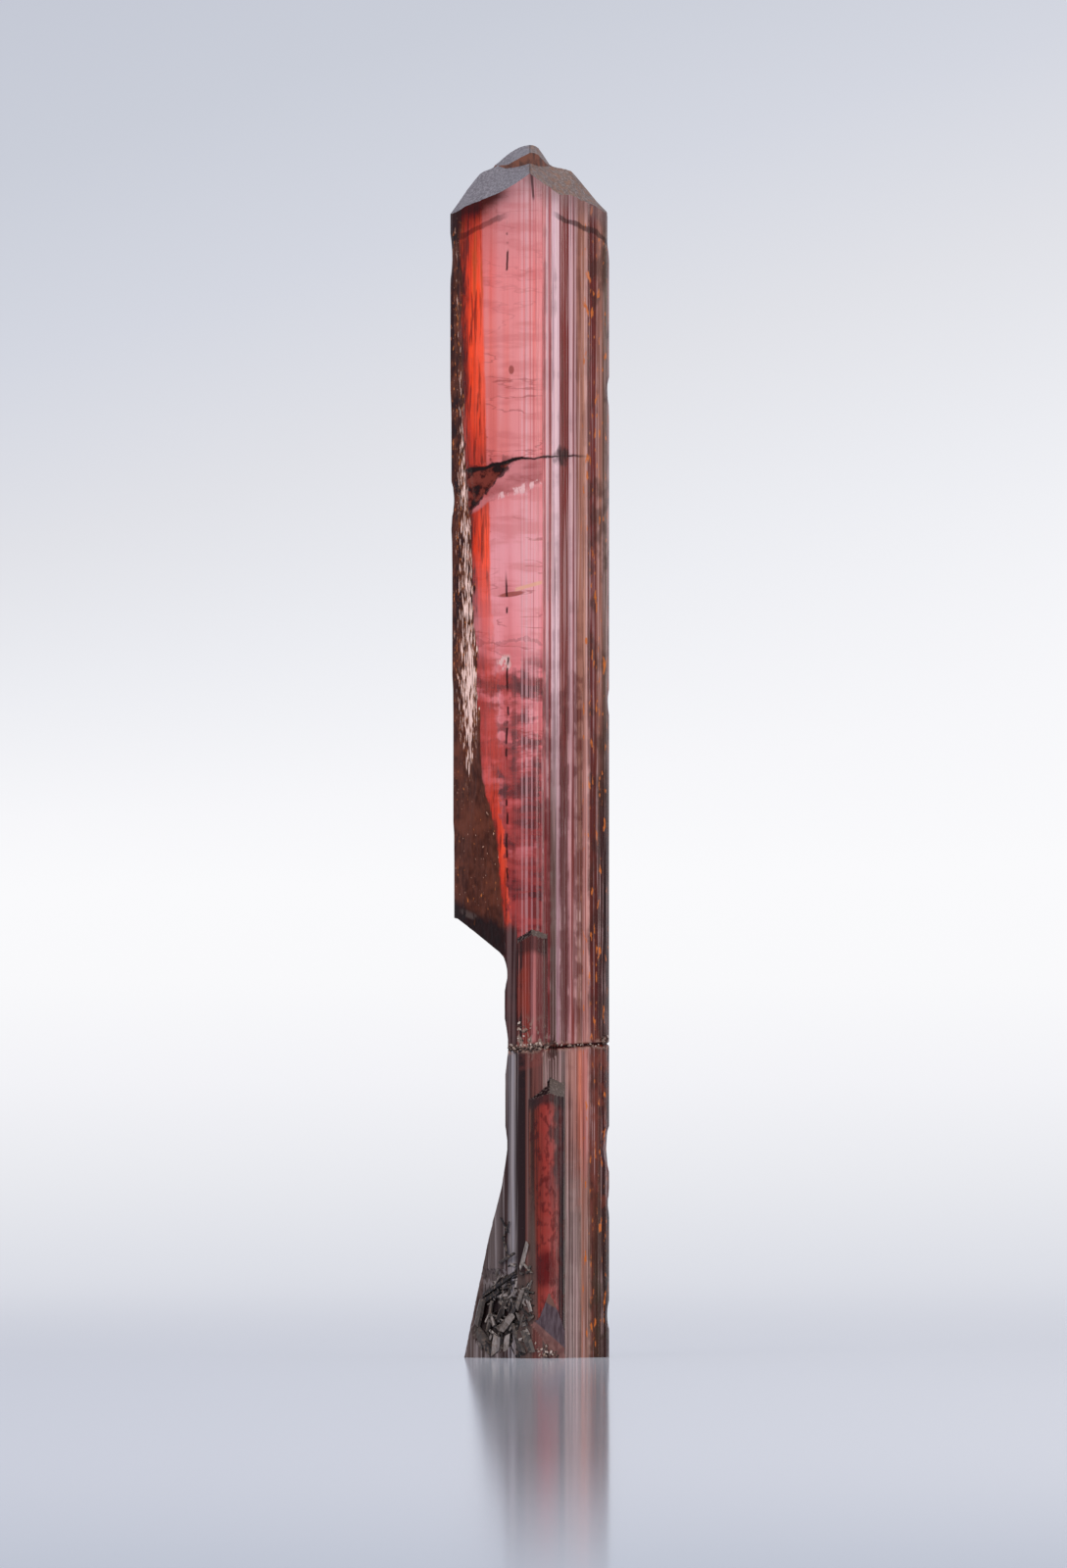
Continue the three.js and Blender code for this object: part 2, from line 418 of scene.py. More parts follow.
def polygon_distance(corners: np.ndarray, axis: Point, angle: np.ndarray) -> np.ndarray:
    """Distance from the axis to a closed outline along level rays.

    A ray meets the edge from a to b at cross(a, b - a) / cross(ray, b - a).

    Args:
        corners: Outline, counterclockwise, seen whole from the axis.
        axis: Plan position of the axis.
        angle: Direction of each ray.

    Returns:
        The distance along each ray.
    """
    start = corners - np.array(axis)
    turn = np.unwrap(np.arctan2(start[:, 1], start[:, 0]))
    wrapped = (angle - turn[0]) % (2.0 * np.pi) + turn[0]
    edge = np.searchsorted(turn, wrapped, side="right") - 1
    a = start[edge]
    run = start[(edge + 1) % len(start)] - a
    cross_a = a[..., 0] * run[..., 1] - a[..., 1] * run[..., 0]
    cross_ray = np.cos(angle) * run[..., 1] - np.sin(angle) * run[..., 0]
    return cross_a / cross_ray


def lattice_noise(u: np.ndarray, v: np.ndarray, seed: int) -> np.ndarray:
    """Smooth noise from -1 to 1: random numbers on a square lattice, blended by smooth steps.

    Args:
        u: First coordinate, one cell per unit.
        v: Second coordinate, one cell per unit.
        seed: Picks the pattern.

    Returns:
        The noise at each place.
    """
    table = np.random.default_rng(seed).uniform(-1.0, 1.0, (64, 64))
    cell_u, cell_v = np.floor(u).astype(int), np.floor(v).astype(int)
    s, t = u - cell_u, v - cell_v
    s, t = s * s * (3.0 - 2.0 * s), t * t * (3.0 - 2.0 * t)
    low = table[cell_u % 64, cell_v % 64] * (1 - s) + table[(cell_u + 1) % 64, cell_v % 64] * s
    high = table[cell_u % 64, (cell_v + 1) % 64] * (1 - s) + table[(cell_u + 1) % 64, (cell_v + 1) % 64] * s
    return low * (1 - t) + high * t


@dataclass(frozen=True)
class Roof:
    """A termination whose top edge is a row of straight runs, with ruled faces falling to front and back.

    Height = edge(x) - fall(x) times w, where w is the distance from the top edge as a share of the reach
    to the front or to the back.
    """

    ridge: float
    edge: tuple[Point, ...]
    fall: tuple[Point, ...]
    front: float
    back: float

    def height(self, x: np.ndarray, y: np.ndarray) -> np.ndarray:
        """Height of the roof over points of the plan."""
        w = np.abs(y - self.ridge) / np.where(y < self.ridge, self.front, self.back)
        return np.interp(x, *np.array(self.edge).T) - np.interp(x, *np.array(self.fall).T) * w


@dataclass(frozen=True)
class SideCrystal:
    """A smaller crystal on the front: an upright outline under a roof of two slopes."""

    plan: tuple[Point, ...]
    peak: Spot
    slope_left: float
    slope_right: float
    slope_front: float
    region: Region
    ends: tuple[Face, ...] = ()

    def faces(self) -> list[Face]:
        """The flat faces that bound it: one for each edge of its outline, its roof and its ends.

        Returns:
            The faces.
        """
        corners = np.array(self.plan)
        runs = np.roll(corners, -1, axis=0) - corners
        walls = [
            Face((dy, -dx, 0.0), dy * x - dx * y, self.region)
            for (x, y), (dx, dy) in zip(corners.tolist(), runs.tolist())
        ]
        px, py, pz = self.peak
        a, b, c = self.slope_left, self.slope_right, self.slope_front
        roof = [
            Face((-a, -c, 1.0), pz - a * px - c * py, Region.ROOF),
            Face((b, -c, 1.0), pz + b * px - c * py, Region.ROOF),
        ]
        return [*walls, *roof, *self.ends]

    def distance(self, angle: np.ndarray, height: np.ndarray, axis: Point) -> tuple[np.ndarray, np.ndarray]:
        """How far out the crystal reaches along level rays, and which face is met.

        Args:
            angle: Direction of each ray.
            height: Height of each ray.
            axis: Plan position of the axis.

        Returns:
            The distance, 0 where a ray misses, and the region of the face met.
        """
        faces = self.faces()
        come_in, go_out = (np.stack(side) for side in zip(*(f.limits(angle, height, axis) for f in faces)))
        nearest = go_out.min(axis=0)
        met = np.array([f.region for f in faces])[go_out.argmin(axis=0)]
        hit = nearest > np.maximum(come_in.max(axis=0), 0.0)
        return np.where(hit, nearest, 0.0), met


@dataclass(frozen=True)
class Chip:
    """A shell-shaped bite out of an edge."""

    place: Spot
    radius: float
    depth: float


@dataclass
class CrystalBody:
    """The whole crystal but for its loose-looking needles and crumbs."""

    axis: Point = (0.4, 0.25)
    front_ridge: Point = (0.0, -2.5)
    right_steps: tuple[Point, ...] = (
        (0.3, -2.43), (0.46, -2.36), (0.82, -2.28), (1.04, -2.02), (1.5, -1.9), (1.9, -1.46), (2.16, -1.38),
        (2.36, -1.14), (2.55, -1.08), (2.66, -0.92), (2.92, -0.84), (3.28, -0.46), (3.8, -0.02), (3.94, 0.4),
    )
    back_corners: tuple[Point, ...] = ((3.84, 0.95), (1.6, 2.86), (-1.25, 3.03), (-3.7, 1.2))
    back_striae: tuple[int, ...] = (15, 11, 17)
    stria_depth: float = 0.08
    left_face: tuple[Point, ...] = (
        (-3.94, 0.35), (-3.8, -0.2), (-3.43, -0.65), (-2.4, -1.42), (-1.3, -2.05), (-0.75, -2.3),
        (-0.2, -2.46),
    )
    column_step: Spot = (0.6, 1.1, 2.4)
    shaft_roof: Roof = Roof(
        ridge=0.3,
        edge=(
            (-3.96, 56.52), (-3.61, 56.99), (-3.22, 57.58), (-2.85, 58.08), (-2.4, 58.62),
            (-1.95, 58.78), (0.0, 59.72), (1.11, 58.9), (2.0, 58.72), (2.19, 58.53), (2.77, 57.83),
            (3.4, 57.06), (3.79, 56.68), (3.96, 56.4),
        ),
        fall=(
            (-3.96, 1.0), (-2.94, 2.06), (-2.46, 2.33), (-1.97, 2.0), (-1.0, 1.58), (0.0, 1.22),
            (0.93, 1.34), (1.9, 2.06), (2.6, 1.9), (3.2, 1.15), (3.96, 0.9),
        ),
        front=2.8, back=2.75,
    )
    peak_plan: tuple[Point, ...] = (
        (0.0, -1.3), (0.5, -0.72), (1.07, 0.3), (0.95, 1.5), (0.0, 2.1), (-1.3, 1.75), (-1.89, 0.75),
        (-1.2, -0.3), (-0.5, -0.9),
    )
    peak_axis: Point = (-0.15, 0.5)
    peak_roof: Roof = Roof(
        ridge=0.5,
        edge=(
            (-1.89, 58.85), (-1.57, 59.08), (-1.185, 59.43), (-0.8, 59.7), (-0.42, 59.89), (0.0, 59.97),
            (0.22, 59.94), (0.41, 59.83), (0.67, 59.46), (1.07, 58.85),
        ),
        fall=((-1.89, 1.0), (-1.05, 1.04), (0.0, 0.43), (0.73, 0.57), (1.07, 0.6)),
        front=1.8, back=1.8,
    )
    peak_tip: Spot = (0.0, 0.5, 59.97)
    wall_top: float = 55.6
    flank_foot: float = 20.0
    flank: tuple[Face, ...] = (
        Face.through((-3.43, -0.65, 52.6), (-3.74, 0.3, 40.0), (-2.51, -1.35, 29.3), Region.FLANK),
        Face.through((-2.51, -1.35, 29.3), (-3.62, 0.4, 24.0), (-1.3, -2.05, 20.9), Region.FLANK),
    )
    break_edge: tuple[Point, ...] = (
        (0.0, -3.25), (3.25, -2.6), (6.16, -1.98), (8.48, -1.39), (10.5, -1.1), (11.39, -1.22),
        (14.05, -1.22), (15.02, -1.1), (15.85, -1.1), (16.72, -1.25), (18.27, -1.25), (18.66, -1.13),
        (19.14, -1.13), (19.73, -1.25), (20.02, -1.49), (21.71, -3.62), (21.8, -6.0), (60.0, -6.0),
    )
    upper: SideCrystal = SideCrystal(
        plan=(
            (0.08, -2.8), (0.5, -2.66), (0.86, -2.5), (0.89, -1.2),
            (-0.6, -1.2), (-0.62, -2.58), (-0.3, -2.7),
        ),
        peak=(0.08, -2.48, 21.18), slope_left=0.8, slope_right=0.58, slope_front=0.9, region=Region.UPPER,
    )
    lower: SideCrystal = SideCrystal(
        plan=(
            (0.96, -3.04), (1.4, -2.82), (1.74, -2.6), (1.76, -1.0),
            (-0.04, -1.0), (-0.07, -2.76), (0.4, -2.92),
        ),
        peak=(0.98, -2.1, 13.84), slope_left=0.5, slope_right=0.75, slope_front=0.8, region=Region.LOWER,
        ends=(
            Face.through((0.55, -3.1, 3.15), (0.9, -2.6, 0.3), (1.74, -2.75, 2.3), Region.STUMP),
            Face.through((0.3, -2.9, 1.9), (0.5, -2.3, 0.0), (1.3, -2.65, 0.9), Region.STUMP),
        ),
    )
    seam_height: float = 15.3
    seam_slope: float = 0.056
    seam_depth: float = 0.11
    seam_half: float = 0.06
    chips: tuple[Chip, ...] = (
        Chip((3.96, 0.35, 47.7), 0.45, 0.16), Chip((3.96, 0.35, 55.3), 0.5, 0.12),
        Chip((3.96, 0.35, 32.5), 0.35, 0.1), Chip((3.96, 0.3, 10.35), 0.75, 0.2),
        Chip((3.96, 0.3, 7.6), 0.35, 0.1), Chip((3.96, 0.35, 2.1), 0.5, 0.1),
        Chip((-3.93, 0.25, 42.4), 0.7, 0.2), Chip((-3.96, 0.2, 54.4), 0.8, 0.1),
        Chip((-3.82, 0.3, 36.2), 0.4, 0.08), Chip((0.3, -2.7, 15.3), 0.45, 0.16),
        Chip((1.05, -2.1, 15.25), 0.4, 0.2), Chip((1.6, 2.86, 30.5), 0.7, 0.2),
        Chip((-1.25, 3.05, 12.2), 0.8, 0.22),
    )
    pit_corners: tuple[Point, ...] = ((-3.1, 44.1), (-0.85, 44.45), (-2.75, 42.0))
    pit_depth: float = 0.16
    pocket_place: Point = (-1.75, 2.3)
    pocket_radii: Point = (1.3, 2.1)
    pocket_depth: float = 0.45
    rows: tuple[tuple[float, float, int], ...] = (
        (0.0, 3.6, 36), (3.6, 8.0, 16), (8.0, 12.6, 12), (12.6, 14.0, 32), (14.0, 15.0, 6), (15.0, 15.7, 18),
        (15.7, 19.8, 12), (19.8, 21.9, 36), (21.9, 41.6, 30), (41.6, 45.0, 24), (45.0, 52.0, 10),
        (52.0, 55.6, 8),
    )
    cap_rings: int = 12
    peak_rings: int = 9
    mesh_object: bpy.types.Object | None = field(default=None, init=False)

    def plan(self) -> np.ndarray:
        """Corners of the shaft's outline, counterclockwise, with striated faces behind.

        A striated face steps in by the stria depth at every second point between its corners.

        Returns:
            Corners as rows of x and y.
        """
        backs = np.array(self.back_corners)
        pieces = [np.array([self.front_ridge]), np.array(self.right_steps)]
        for start, end, steps in zip(backs[:-1], backs[1:], self.back_striae):
            index = np.arange(1, steps)
            share = (index + 0.3 * np.sin(2.4 * (index - 1))) / steps
            run = end - start
            inward = np.array((-run[1], run[0])) / np.hypot(*run)
            depth = self.stria_depth * (index % 2)
            pieces.append(start[None])
            pieces.append(start + share[:, None] * run + depth[:, None] * inward)
        return np.concatenate([*pieces, backs[-1:], np.array(self.left_face)])

    def columns(self) -> np.ndarray:
        """Angles of the grid's columns: every corner of the outlines, with even steps between them.

        Returns:
            The angles, in order.
        """
        corners = np.concatenate([self.plan(), np.array(self.upper.plan), np.array(self.lower.plan)])
        out = corners - np.array(self.axis)
        turns = np.unique(np.round(np.arctan2(out[:, 1], out[:, 0]), 4))
        ends = np.append(turns, turns[0] + 2.0 * np.pi)
        depth = np.sin((ends[:-1] + ends[1:]) / 2)
        step = np.radians(np.select([depth < -0.9, depth < 0.1], self.column_step[:2], self.column_step[2]))
        counts = np.maximum(1, np.ceil(np.diff(ends) / step)).astype(int)
        return np.concatenate(
            [np.linspace(a, b, n, endpoint=False) for a, b, n in zip(ends[:-1], ends[1:], counts)]
        )

    def heights(self) -> np.ndarray:
        """Heights of the wall's rows, closer together where the shape changes."""
        runs = [np.linspace(low, high, count, endpoint=False) for low, high, count in self.rows]
        return np.append(np.concatenate(runs), self.wall_top)

    def distance(self, angle: np.ndarray, height: np.ndarray) -> tuple[np.ndarray, np.ndarray]:
        """Distance of the bare surface from the axis, and its region, before the fine relief.

        It is the outline's distance, limited by the flank's faces, pushed out by the side crystals and
        limited again by the break.

        Args:
            angle: Direction of each place.
            height: Height of each place.

        Returns:
            The distance and the region.
        """
        far = polygon_distance(self.plan(), self.axis, angle)
        region = np.full(far.shape, int(Region.SHAFT))
        for face in self.flank:
            limit = np.where(height > self.flank_foot, face.limits(angle, height, self.axis)[1], FAR)
            region = np.where(limit < far, int(Region.FLANK), region)
            far = np.minimum(far, limit)
        for crystal in (self.upper, self.lower):
            reach, met = crystal.distance(angle, height, self.axis)
            region = np.where(reach > far, met, region)
            far = np.maximum(far, reach)
        edge = np.interp(height, *np.array(self.break_edge).T)
        west = np.minimum(np.cos(angle), -1.0e-6)
        limit = np.where(np.cos(angle) < 0, (edge - self.axis[0]) / west, FAR)
        region = np.where(limit < far, int(Region.BREAK), region)
        return np.minimum(far, limit), region

    def relief(
        self, angle: np.ndarray, height: np.ndarray, far: np.ndarray, region: np.ndarray
    ) -> np.ndarray:
        """How far the fine relief cuts into the bare surface.

        The seam is a bell-shaped groove, a chip is a bowl of its depth, and rough faces have noise.

        Args:
            angle: Direction of each place.
            height: Height of each place.
            far: Bare distance from the axis.
            region: Region of each place.

        Returns:
            The depth of cut at each place.
        """
        x = self.axis[0] + far * np.cos(angle)
        y = self.axis[1] + far * np.sin(angle)
        wander = 0.05 * lattice_noise(3.0 * angle + 50.0, 0.0 * height, 3)
        seam = self.seam_height + self.seam_slope * x + wander
        cut = self.seam_depth * np.exp(-(((height - seam) / self.seam_half) ** 2))
        for chip in self.chips:
            cx, cy, cz = chip.place
            spread = ((x - cx) ** 2 + (y - cy) ** 2 + ((height - cz) * 0.7) ** 2) / chip.radius**2
            cut = np.maximum(cut, chip.depth * np.clip(1.0 - spread, 0.0, None))
        in_pocket = 1.0 - ((x - self.pocket_place[0]) / self.pocket_radii[0]) ** 2
        in_pocket = in_pocket - ((height - self.pocket_place[1]) / self.pocket_radii[1]) ** 2
        front = y < 0
        bowl = self.pocket_depth * np.sqrt(np.clip(in_pocket, 0.0, None))
        cut = np.maximum(cut, np.where(front, bowl, 0.0))
        cut = np.maximum(cut, np.where(front, self.pit_depth * self.pit_share(x, height), 0.0))
        coarse = lattice_noise(9.0 * angle + 20.0, 1.3 * height, 5)
        fine = lattice_noise(30.0 * angle + 200.0, 5.0 * height, 6)
        rough = np.choose(region, (0.0, 0.03, 0.0, 0.0, 0.01, 0.05, 0.03, 0.0, 0.0))
        level = 0.0 * height
        streak = lattice_noise(52.0 * angle + 400.0, level, 7)
        streak = streak + lattice_noise(110.0 * angle + 900.0, level, 8)
        striated = np.where(x > 0.6, 0.016, 0.005) * np.isin(region, (0, 2, 3))
        return cut + rough * (0.6 * coarse + 0.4 * fine + 0.9) + striated * (0.5 * streak + 1.0)

    def pit_share(self, x: np.ndarray, height: np.ndarray) -> np.ndarray:
        """How deep a place is in the three-cornered pit: 0 outside, up to 1 along its upper edge.

        Args:
            x: Place across.
            height: Height of each place.

        Returns:
            The share of the pit's depth.
        """
        corners = np.array(self.pit_corners)
        runs = np.roll(corners, -1, axis=0) - corners
        sides = [
            (dx * (height - cz) - dz * (x - cx)) / math.hypot(dx, dz)
            for (cx, cz), (dx, dz) in zip(corners.tolist(), runs.tolist())
        ]
        inside = np.clip(-np.max(sides, axis=0) / 0.12, 0.0, 1.0)
        return inside * (0.45 + 0.25 * np.clip((height - 42.0) / 2.4, 0.0, 1.0))

    def rings(self) -> tuple[np.ndarray, np.ndarray]:
        """Every ring of the surface from the floor to the top, and the region of the strip above each.

        Returns:
            Points as rings by columns by three, and regions as strips by columns.
        """
        turn = self.columns()
        levels = self.heights()
        angle, height = np.meshgrid(turn, levels)
        far, region = self.distance(angle, height)
        cut_far = far - self.relief(angle, height, far, region)
        walls = np.stack(
            [self.axis[0] + cut_far * np.cos(angle), self.axis[1] + cut_far * np.sin(angle), height], axis=-1
        )
        middle_turn = turn + np.diff(np.append(turn, turn[0] + 2.0 * np.pi)) / 2
        mid_angle, mid_height = np.meshgrid(middle_turn, (levels[:-1] + levels[1:]) / 2)
        strips = [self.distance(mid_angle, mid_height)[1]]

        rim = walls[-1, :, :2]
        inner = np.array(self.peak_axis) + polygon_distance(
            np.array(self.peak_plan), self.peak_axis, turn
        )[:, None] * np.stack([np.cos(turn), np.sin(turn)], axis=-1)
        share = np.linspace(0.0, 1.0, self.cap_rings)[:, None, None]
        cap_plan = rim + (inner - rim) * share
        cap = np.concatenate(
            [cap_plan, self.shaft_roof.height(cap_plan[..., 0], cap_plan[..., 1])[..., None]], axis=-1
        )
        share = np.linspace(1.0, 0.04, self.peak_rings)[:, None, None]
        tip = np.array(self.peak_tip[:2])
        peak_plan = tip + (inner - tip) * share
        peak_height = self.peak_roof.height(peak_plan[..., 0], peak_plan[..., 1])
        floor_of_riser = cap[-1, :, 2]
        peak_height = np.maximum(peak_height, floor_of_riser + 0.02)
        peak = np.concatenate([peak_plan, peak_height[..., None]], axis=-1)

        count = len(turn)
        top_strip = np.full((1, count), int(Region.SHAFT))
        top_strip[0] = np.where(strips[0][-1] == Region.FLANK, int(Region.FLANK), int(Region.SHAFT))
        strips += [
            top_strip,
            np.full((self.cap_rings - 1, count), int(Region.CAP)),
            np.full((1, count), int(Region.RISER)),
            np.full((self.peak_rings - 1, count), int(Region.CAP)),
        ]
        return np.concatenate([walls, cap, peak]), np.concatenate(strips)

    def build(self) -> bpy.types.Object:
        """Closes the rings with a floor and a top, and puts them into one mesh.

        Returns:
            The crystal's object.
        """
        rings, strips = self.rings()
        ring_count, count, _ = rings.shape
        foot = np.array([[self.axis[0], self.axis[1], 0.0]])
        top = np.array([self.peak_tip])
        points = np.concatenate([rings.reshape(-1, 3), foot, top]) * MM
        first = np.arange(ring_count - 1)[:, None] * count
        here = np.arange(count)[None]
        then = (here + 1) % count
        quads = np.stack(
            [first + here, first + then, first + count + then, first + count + here], axis=-1
        ).reshape(-1, 4)
        here, then = here[0], then[0]
        floor = np.stack([then, here, np.full(count, ring_count * count)], axis=-1)
        last = (ring_count - 1) * count
        cone = np.stack([last + here, last + then, np.full(count, ring_count * count + 1)], axis=-1)
        regions = np.concatenate(
            [strips.ravel(), np.full(count, int(Region.BREAK)), np.full(count, int(Region.CAP))]
        )
        mesh = bpy.data.meshes.new("crystal_body")
        mesh.from_pydata(points, [], [*quads.tolist(), *floor.tolist(), *cone.tolist()])
        masks = {
            "cap": (Region.CAP,),
            "riser": (Region.RISER,),
            "roof": (Region.ROOF,),
            "upper": (Region.UPPER,),
            "lower": (Region.LOWER,),
            "broken": (Region.BREAK, Region.STUMP),
        }
        for name, members in masks.items():
            mask = mesh.attributes.new(name, "FLOAT", "FACE")
            mask.data.foreach_set("value", np.isin(regions, members).astype(np.float32))
        self.mesh_object = bpy.data.objects.new("crystal_body", mesh)
        bpy.context.collection.objects.link(self.mesh_object)
        return self.mesh_object

    def dress(self, finish: CrystalFinish) -> None:
        """Gives the crystal its finish and its place in the frame.

        Args:
            finish: What it is made of.
        """
        self.mesh_object.data.materials.append(finish.material())
        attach(self.mesh_object, "root")
        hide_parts("crystal")


class MineralGrain(Grain):
    """The noises that every zone of the crystal shares."""

    def __init__(self, shader: Shader) -> None:
        """Makes each noise once: upright streaks, fine lines, level clouds, flecks and specks.

        Args:
            shader: The material's node tree.
        """
        super().__init__(shader)
        self.streak = self.noise(5.0, 0.05, 4.0, 1.0)
        self.fine = self.noise(11.0, 0.1, 3.0, 2.5)
        self.cloud = self.noise(0.5, 1.0, 4.0, 2.0)
        self.fleck = self.noise(4.0, 2.0, 4.0, 3.0)
        self.speck = self.noise(8.0, 8.0, 2.0, 6.0)
        self.wave = self.noise(1.4, 1.4, 3.0, 31.0) - 0.5


@dataclass(frozen=True)
class CrystalFinish:
    """Clear pink and red mineral with cloudy, stained and broken zones, placed in millimetres."""

    index: float = 1.65
    clear_roughness: float = 0.12
    cloudy_shine: float = 0.14
    absorption: Colour = (1.0, 0.45, 0.42, 1.0)
    absorption_density: float = 150.0
    seam_height: float = 15.3
    seam_slope: float = 0.056
    flank_edge: tuple[Point, ...] = (
        (0.0, -6.0), (19.4, -6.0), (19.8, -1.16), (21.7, -1.31), (22.9, -1.44), (24.15, -1.53),
        (25.4, -1.59), (26.65, -1.84), (27.9, -2.15), (29.1, -2.41), (34.2, -2.6), (36.2, -2.68),
        (38.7, -2.8), (41.2, -2.96), (46.1, -3.3), (51.1, -3.4), (60.0, -3.46),
    )
    orange_edge: tuple[Point, ...] = (
        (20.0, -0.95), (22.0, -1.02), (24.0, -1.15), (26.0, -1.3), (28.0, -1.5), (33.0, -1.6),
        (36.0, -1.78), (38.0, -1.95), (41.5, -1.97), (44.3, -2.12), (46.2, -2.15), (51.0, -2.3),
        (60.0, -2.4),
    )
    orange_share: tuple[Point, ...] = (
        (20.0, 0.9), (27.0, 0.9), (28.6, 0.45), (31.0, 0.3), (34.0, 0.35), (36.5, 0.55), (38.2, 0.85),
        (40.0, 1.0), (60.0, 1.0),
    )
    rim_height: tuple[Point, ...] = (
        (-3.96, 56.5), (-2.9, 57.0), (-2.0, 57.4), (-1.0, 57.85), (0.0, 58.5), (0.45, 58.16), (0.95, 57.87),
        (1.9, 57.43), (3.2, 56.95), (3.8, 56.5),
    )
    high_crack: tuple[Point, ...] = (
        (-4.0, 43.7), (-3.0, 43.85), (-2.2, 43.95), (-1.4, 44.2), (-0.7, 44.38), (0.2, 44.45),
        (1.9, 44.55), (3.2, 44.5),
    )
    recess_foot: Point = (-2.75, 42.0)
    recess_top: Point = (-0.85, 44.35)
    veil_foot: tuple[Point, ...] = ((-2.9, 41.7), (-2.0, 42.3), (-1.0, 42.65), (0.0, 43.0), (1.0, 43.4))

    def material(self) -> bpy.types.Material:
        """The finish as a material: a clear and a cloudy shader mixed by how clear each zone is.

        Returns:
            The material.
        """
        made = bpy.data.materials.new("crystal_finish")
        made.use_nodes = True
        shader = Shader(made.node_tree)
        grain = MineralGrain(shader)
        colour, clear, rough = self.zones(grain)
        bump = self.bump(grain)
        deep = shader.vector(VectorOp.MULTIPLY, colour, (1.05, 1.0, 0.98))
        deep = shader.vector(VectorOp.SUBTRACT, deep, (0.012, 0.013, 0.013))
        deep = shader.vector(VectorOp.MAXIMUM, deep, (0.004, 0.003, 0.003))
        cloudy = shader.node(
            "ShaderNodeBsdfPrincipled",
            {},
            {
                "Base Color": deep,
                "Roughness": rough,
                "IOR": 1.5,
                "Specular IOR Level": self.cloudy_shine,
                "Normal": bump,
            },
        )
        tint = shader.mix(0.35, colour, (1.0, 1.0, 1.0, 1.0))
        glassy = shader.node(
            "ShaderNodeBsdfPrincipled",
            {},
            {
                "Base Color": tint,
                "Roughness": self.clear_roughness,
                "IOR": self.index,
                "Transmission Weight": 1.0,
                "Normal": bump,
            },
        )
        surface = shader.node("ShaderNodeMixShader", {}, {0: clear, 1: cloudy, 2: glassy})
        volume = shader.node(
            "ShaderNodeVolumeAbsorption", {}, {"Color": self.absorption, "Density": self.absorption_density}
        )
        shader.node("ShaderNodeOutputMaterial", {}, {"Surface": surface, "Volume": volume})
        return made

    def bump(self, grain: MineralGrain) -> Field:
        """Fine upright striae and a little tooth.

        Args:
            grain: Noises and coordinates.

        Returns:
            The bumped normal.
        """
        height = grain.noise(9.0, 0.08, 3.0, 4.0) * 0.7 + grain.speck * 0.3
        return grain.shader.node(
            "ShaderNodeBump", {}, {"Strength": 0.5, "Distance": 0.03 * MM, "Height": height}
        )

    def zones(self, grain: MineralGrain) -> tuple[Field, Field, Field]:
        """Colour, clearness and roughness over the whole crystal.

        Args:
            grain: Noises and coordinates.

        Returns:
            The colour, the share that is clear and the roughness.
        """
        shader, x, z = grain.shader, grain.x, grain.z
        seam = self.seam_height + self.seam_slope * x
        below = shader.fall(z, seam, 0.05)
        left_of_ridge = shader.fall(x, 0.62, 0.03)
        torn = (grain.noise(5.0, 0.7, 4.0, 18.0) - 0.5) * 0.7 * shader.rise(z, 28.0, 3.0)
        flank_to = shader.profile(z, list(self.flank_edge)) + (grain.fleck - 0.5) * 0.3 + torn
        orange_to = shader.profile(z, list(self.orange_edge))

        colour = self.core_colour(grain)
        ragged = (grain.fleck - 0.5) * 0.9 * shader.fall(z, 36.0, 2.0)
        # The orange strip on the left: orange colour with a painted glow of light shining through the
        # crystal.
        orange_glow = shader.fall(x, orange_to + grain.wave * 0.12 + ragged, 0.07) * shader.rise(z, 20.0, 1.0)
        orange_glow = orange_glow * shader.profile(z, list(self.orange_share))
        colour = shader.mix(orange_glow, colour, self.orange_glow_colour(grain, flank_to, orange_to))
        colour, veiled = self.high_crack_zone(grain, colour)
        colour = shader.mix(1.0 - left_of_ridge, colour, self.right_face(grain))
        side_column = shader.fall(x, -0.62, 0.03) * shader.fall(z, 21.5 + grain.wave * 2.0, 0.8)
        column_tone = shader.mix(shader.rise(grain.fine, 0.5, 0.1), rgb(44, 34, 35), rgb(92, 78, 79))
        colour = shader.mix(side_column * 0.95, colour, column_tone)
        left_foot = left_of_ridge * below
        colour = shader.mix(left_foot, colour, self.foot_columns(grain))

        flank = shader.fall(x, flank_to, 0.07)
        colour = shader.mix(flank, colour, self.flank_colour(grain))
        upper = shader.attribute("upper") * (1.0 - below)
        lower = shader.attribute("lower")
        colour = shader.mix(upper, colour, self.upper_colour(grain))
        colour = shader.mix(lower, colour, self.lower_colour(grain))

        under_rim = shader.profile(x, list(self.rim_height)) - z
        shade = shader.fall(under_rim + (grain.cloud - 0.5) * 1.2, 0.75, 0.55)
        deep_shade = shader.fall(under_rim + (grain.cloud - 0.5) * 1.8, 0.95, 0.6) * shader.fall(x, -1.4, 0.5)
        left_shade = shade * shader.fall(x, -1.0, 0.7) | deep_shade * 0.6
        right_shade = shade * shader.rise(x, -0.4, 0.6) * 0.6
        colour = shader.mix(left_shade * 0.93, colour, rgb(50, 27, 25))
        colour = shader.mix(right_shade, colour, rgb(124, 100, 100))
        # A dark line about 1.3 mm under the rim, on the left and on the right.
        line_under_rim = shader.line(under_rim + grain.wave * 0.4, 1.3, 0.09) * 0.7
        line_under_rim = line_under_rim * (shader.rise(x, 1.3, 0.3) | shader.fall(x, -1.2, 0.4) * 0.8)
        cracks = self.cracks(grain) | line_under_rim
        off_seam = abs(z - seam + grain.wave * 0.2)
        lips = shader.fall(off_seam, 0.2, 0.12) * shader.rise(grain.noise(4.0, 6.0, 4.0, 36.0), 0.5, 0.05)
        colour = shader.mix(lips * 0.8, colour, rgb(158, 128, 116))
        gap = shader.fall(off_seam, 0.11, 0.05) * shader.rise(x, 0.7, 0.2)
        colour = shader.mix(gap * 0.8, colour, rgb(96, 44, 36))
        colour = shader.mix(cracks, colour, rgb(40, 29, 31))

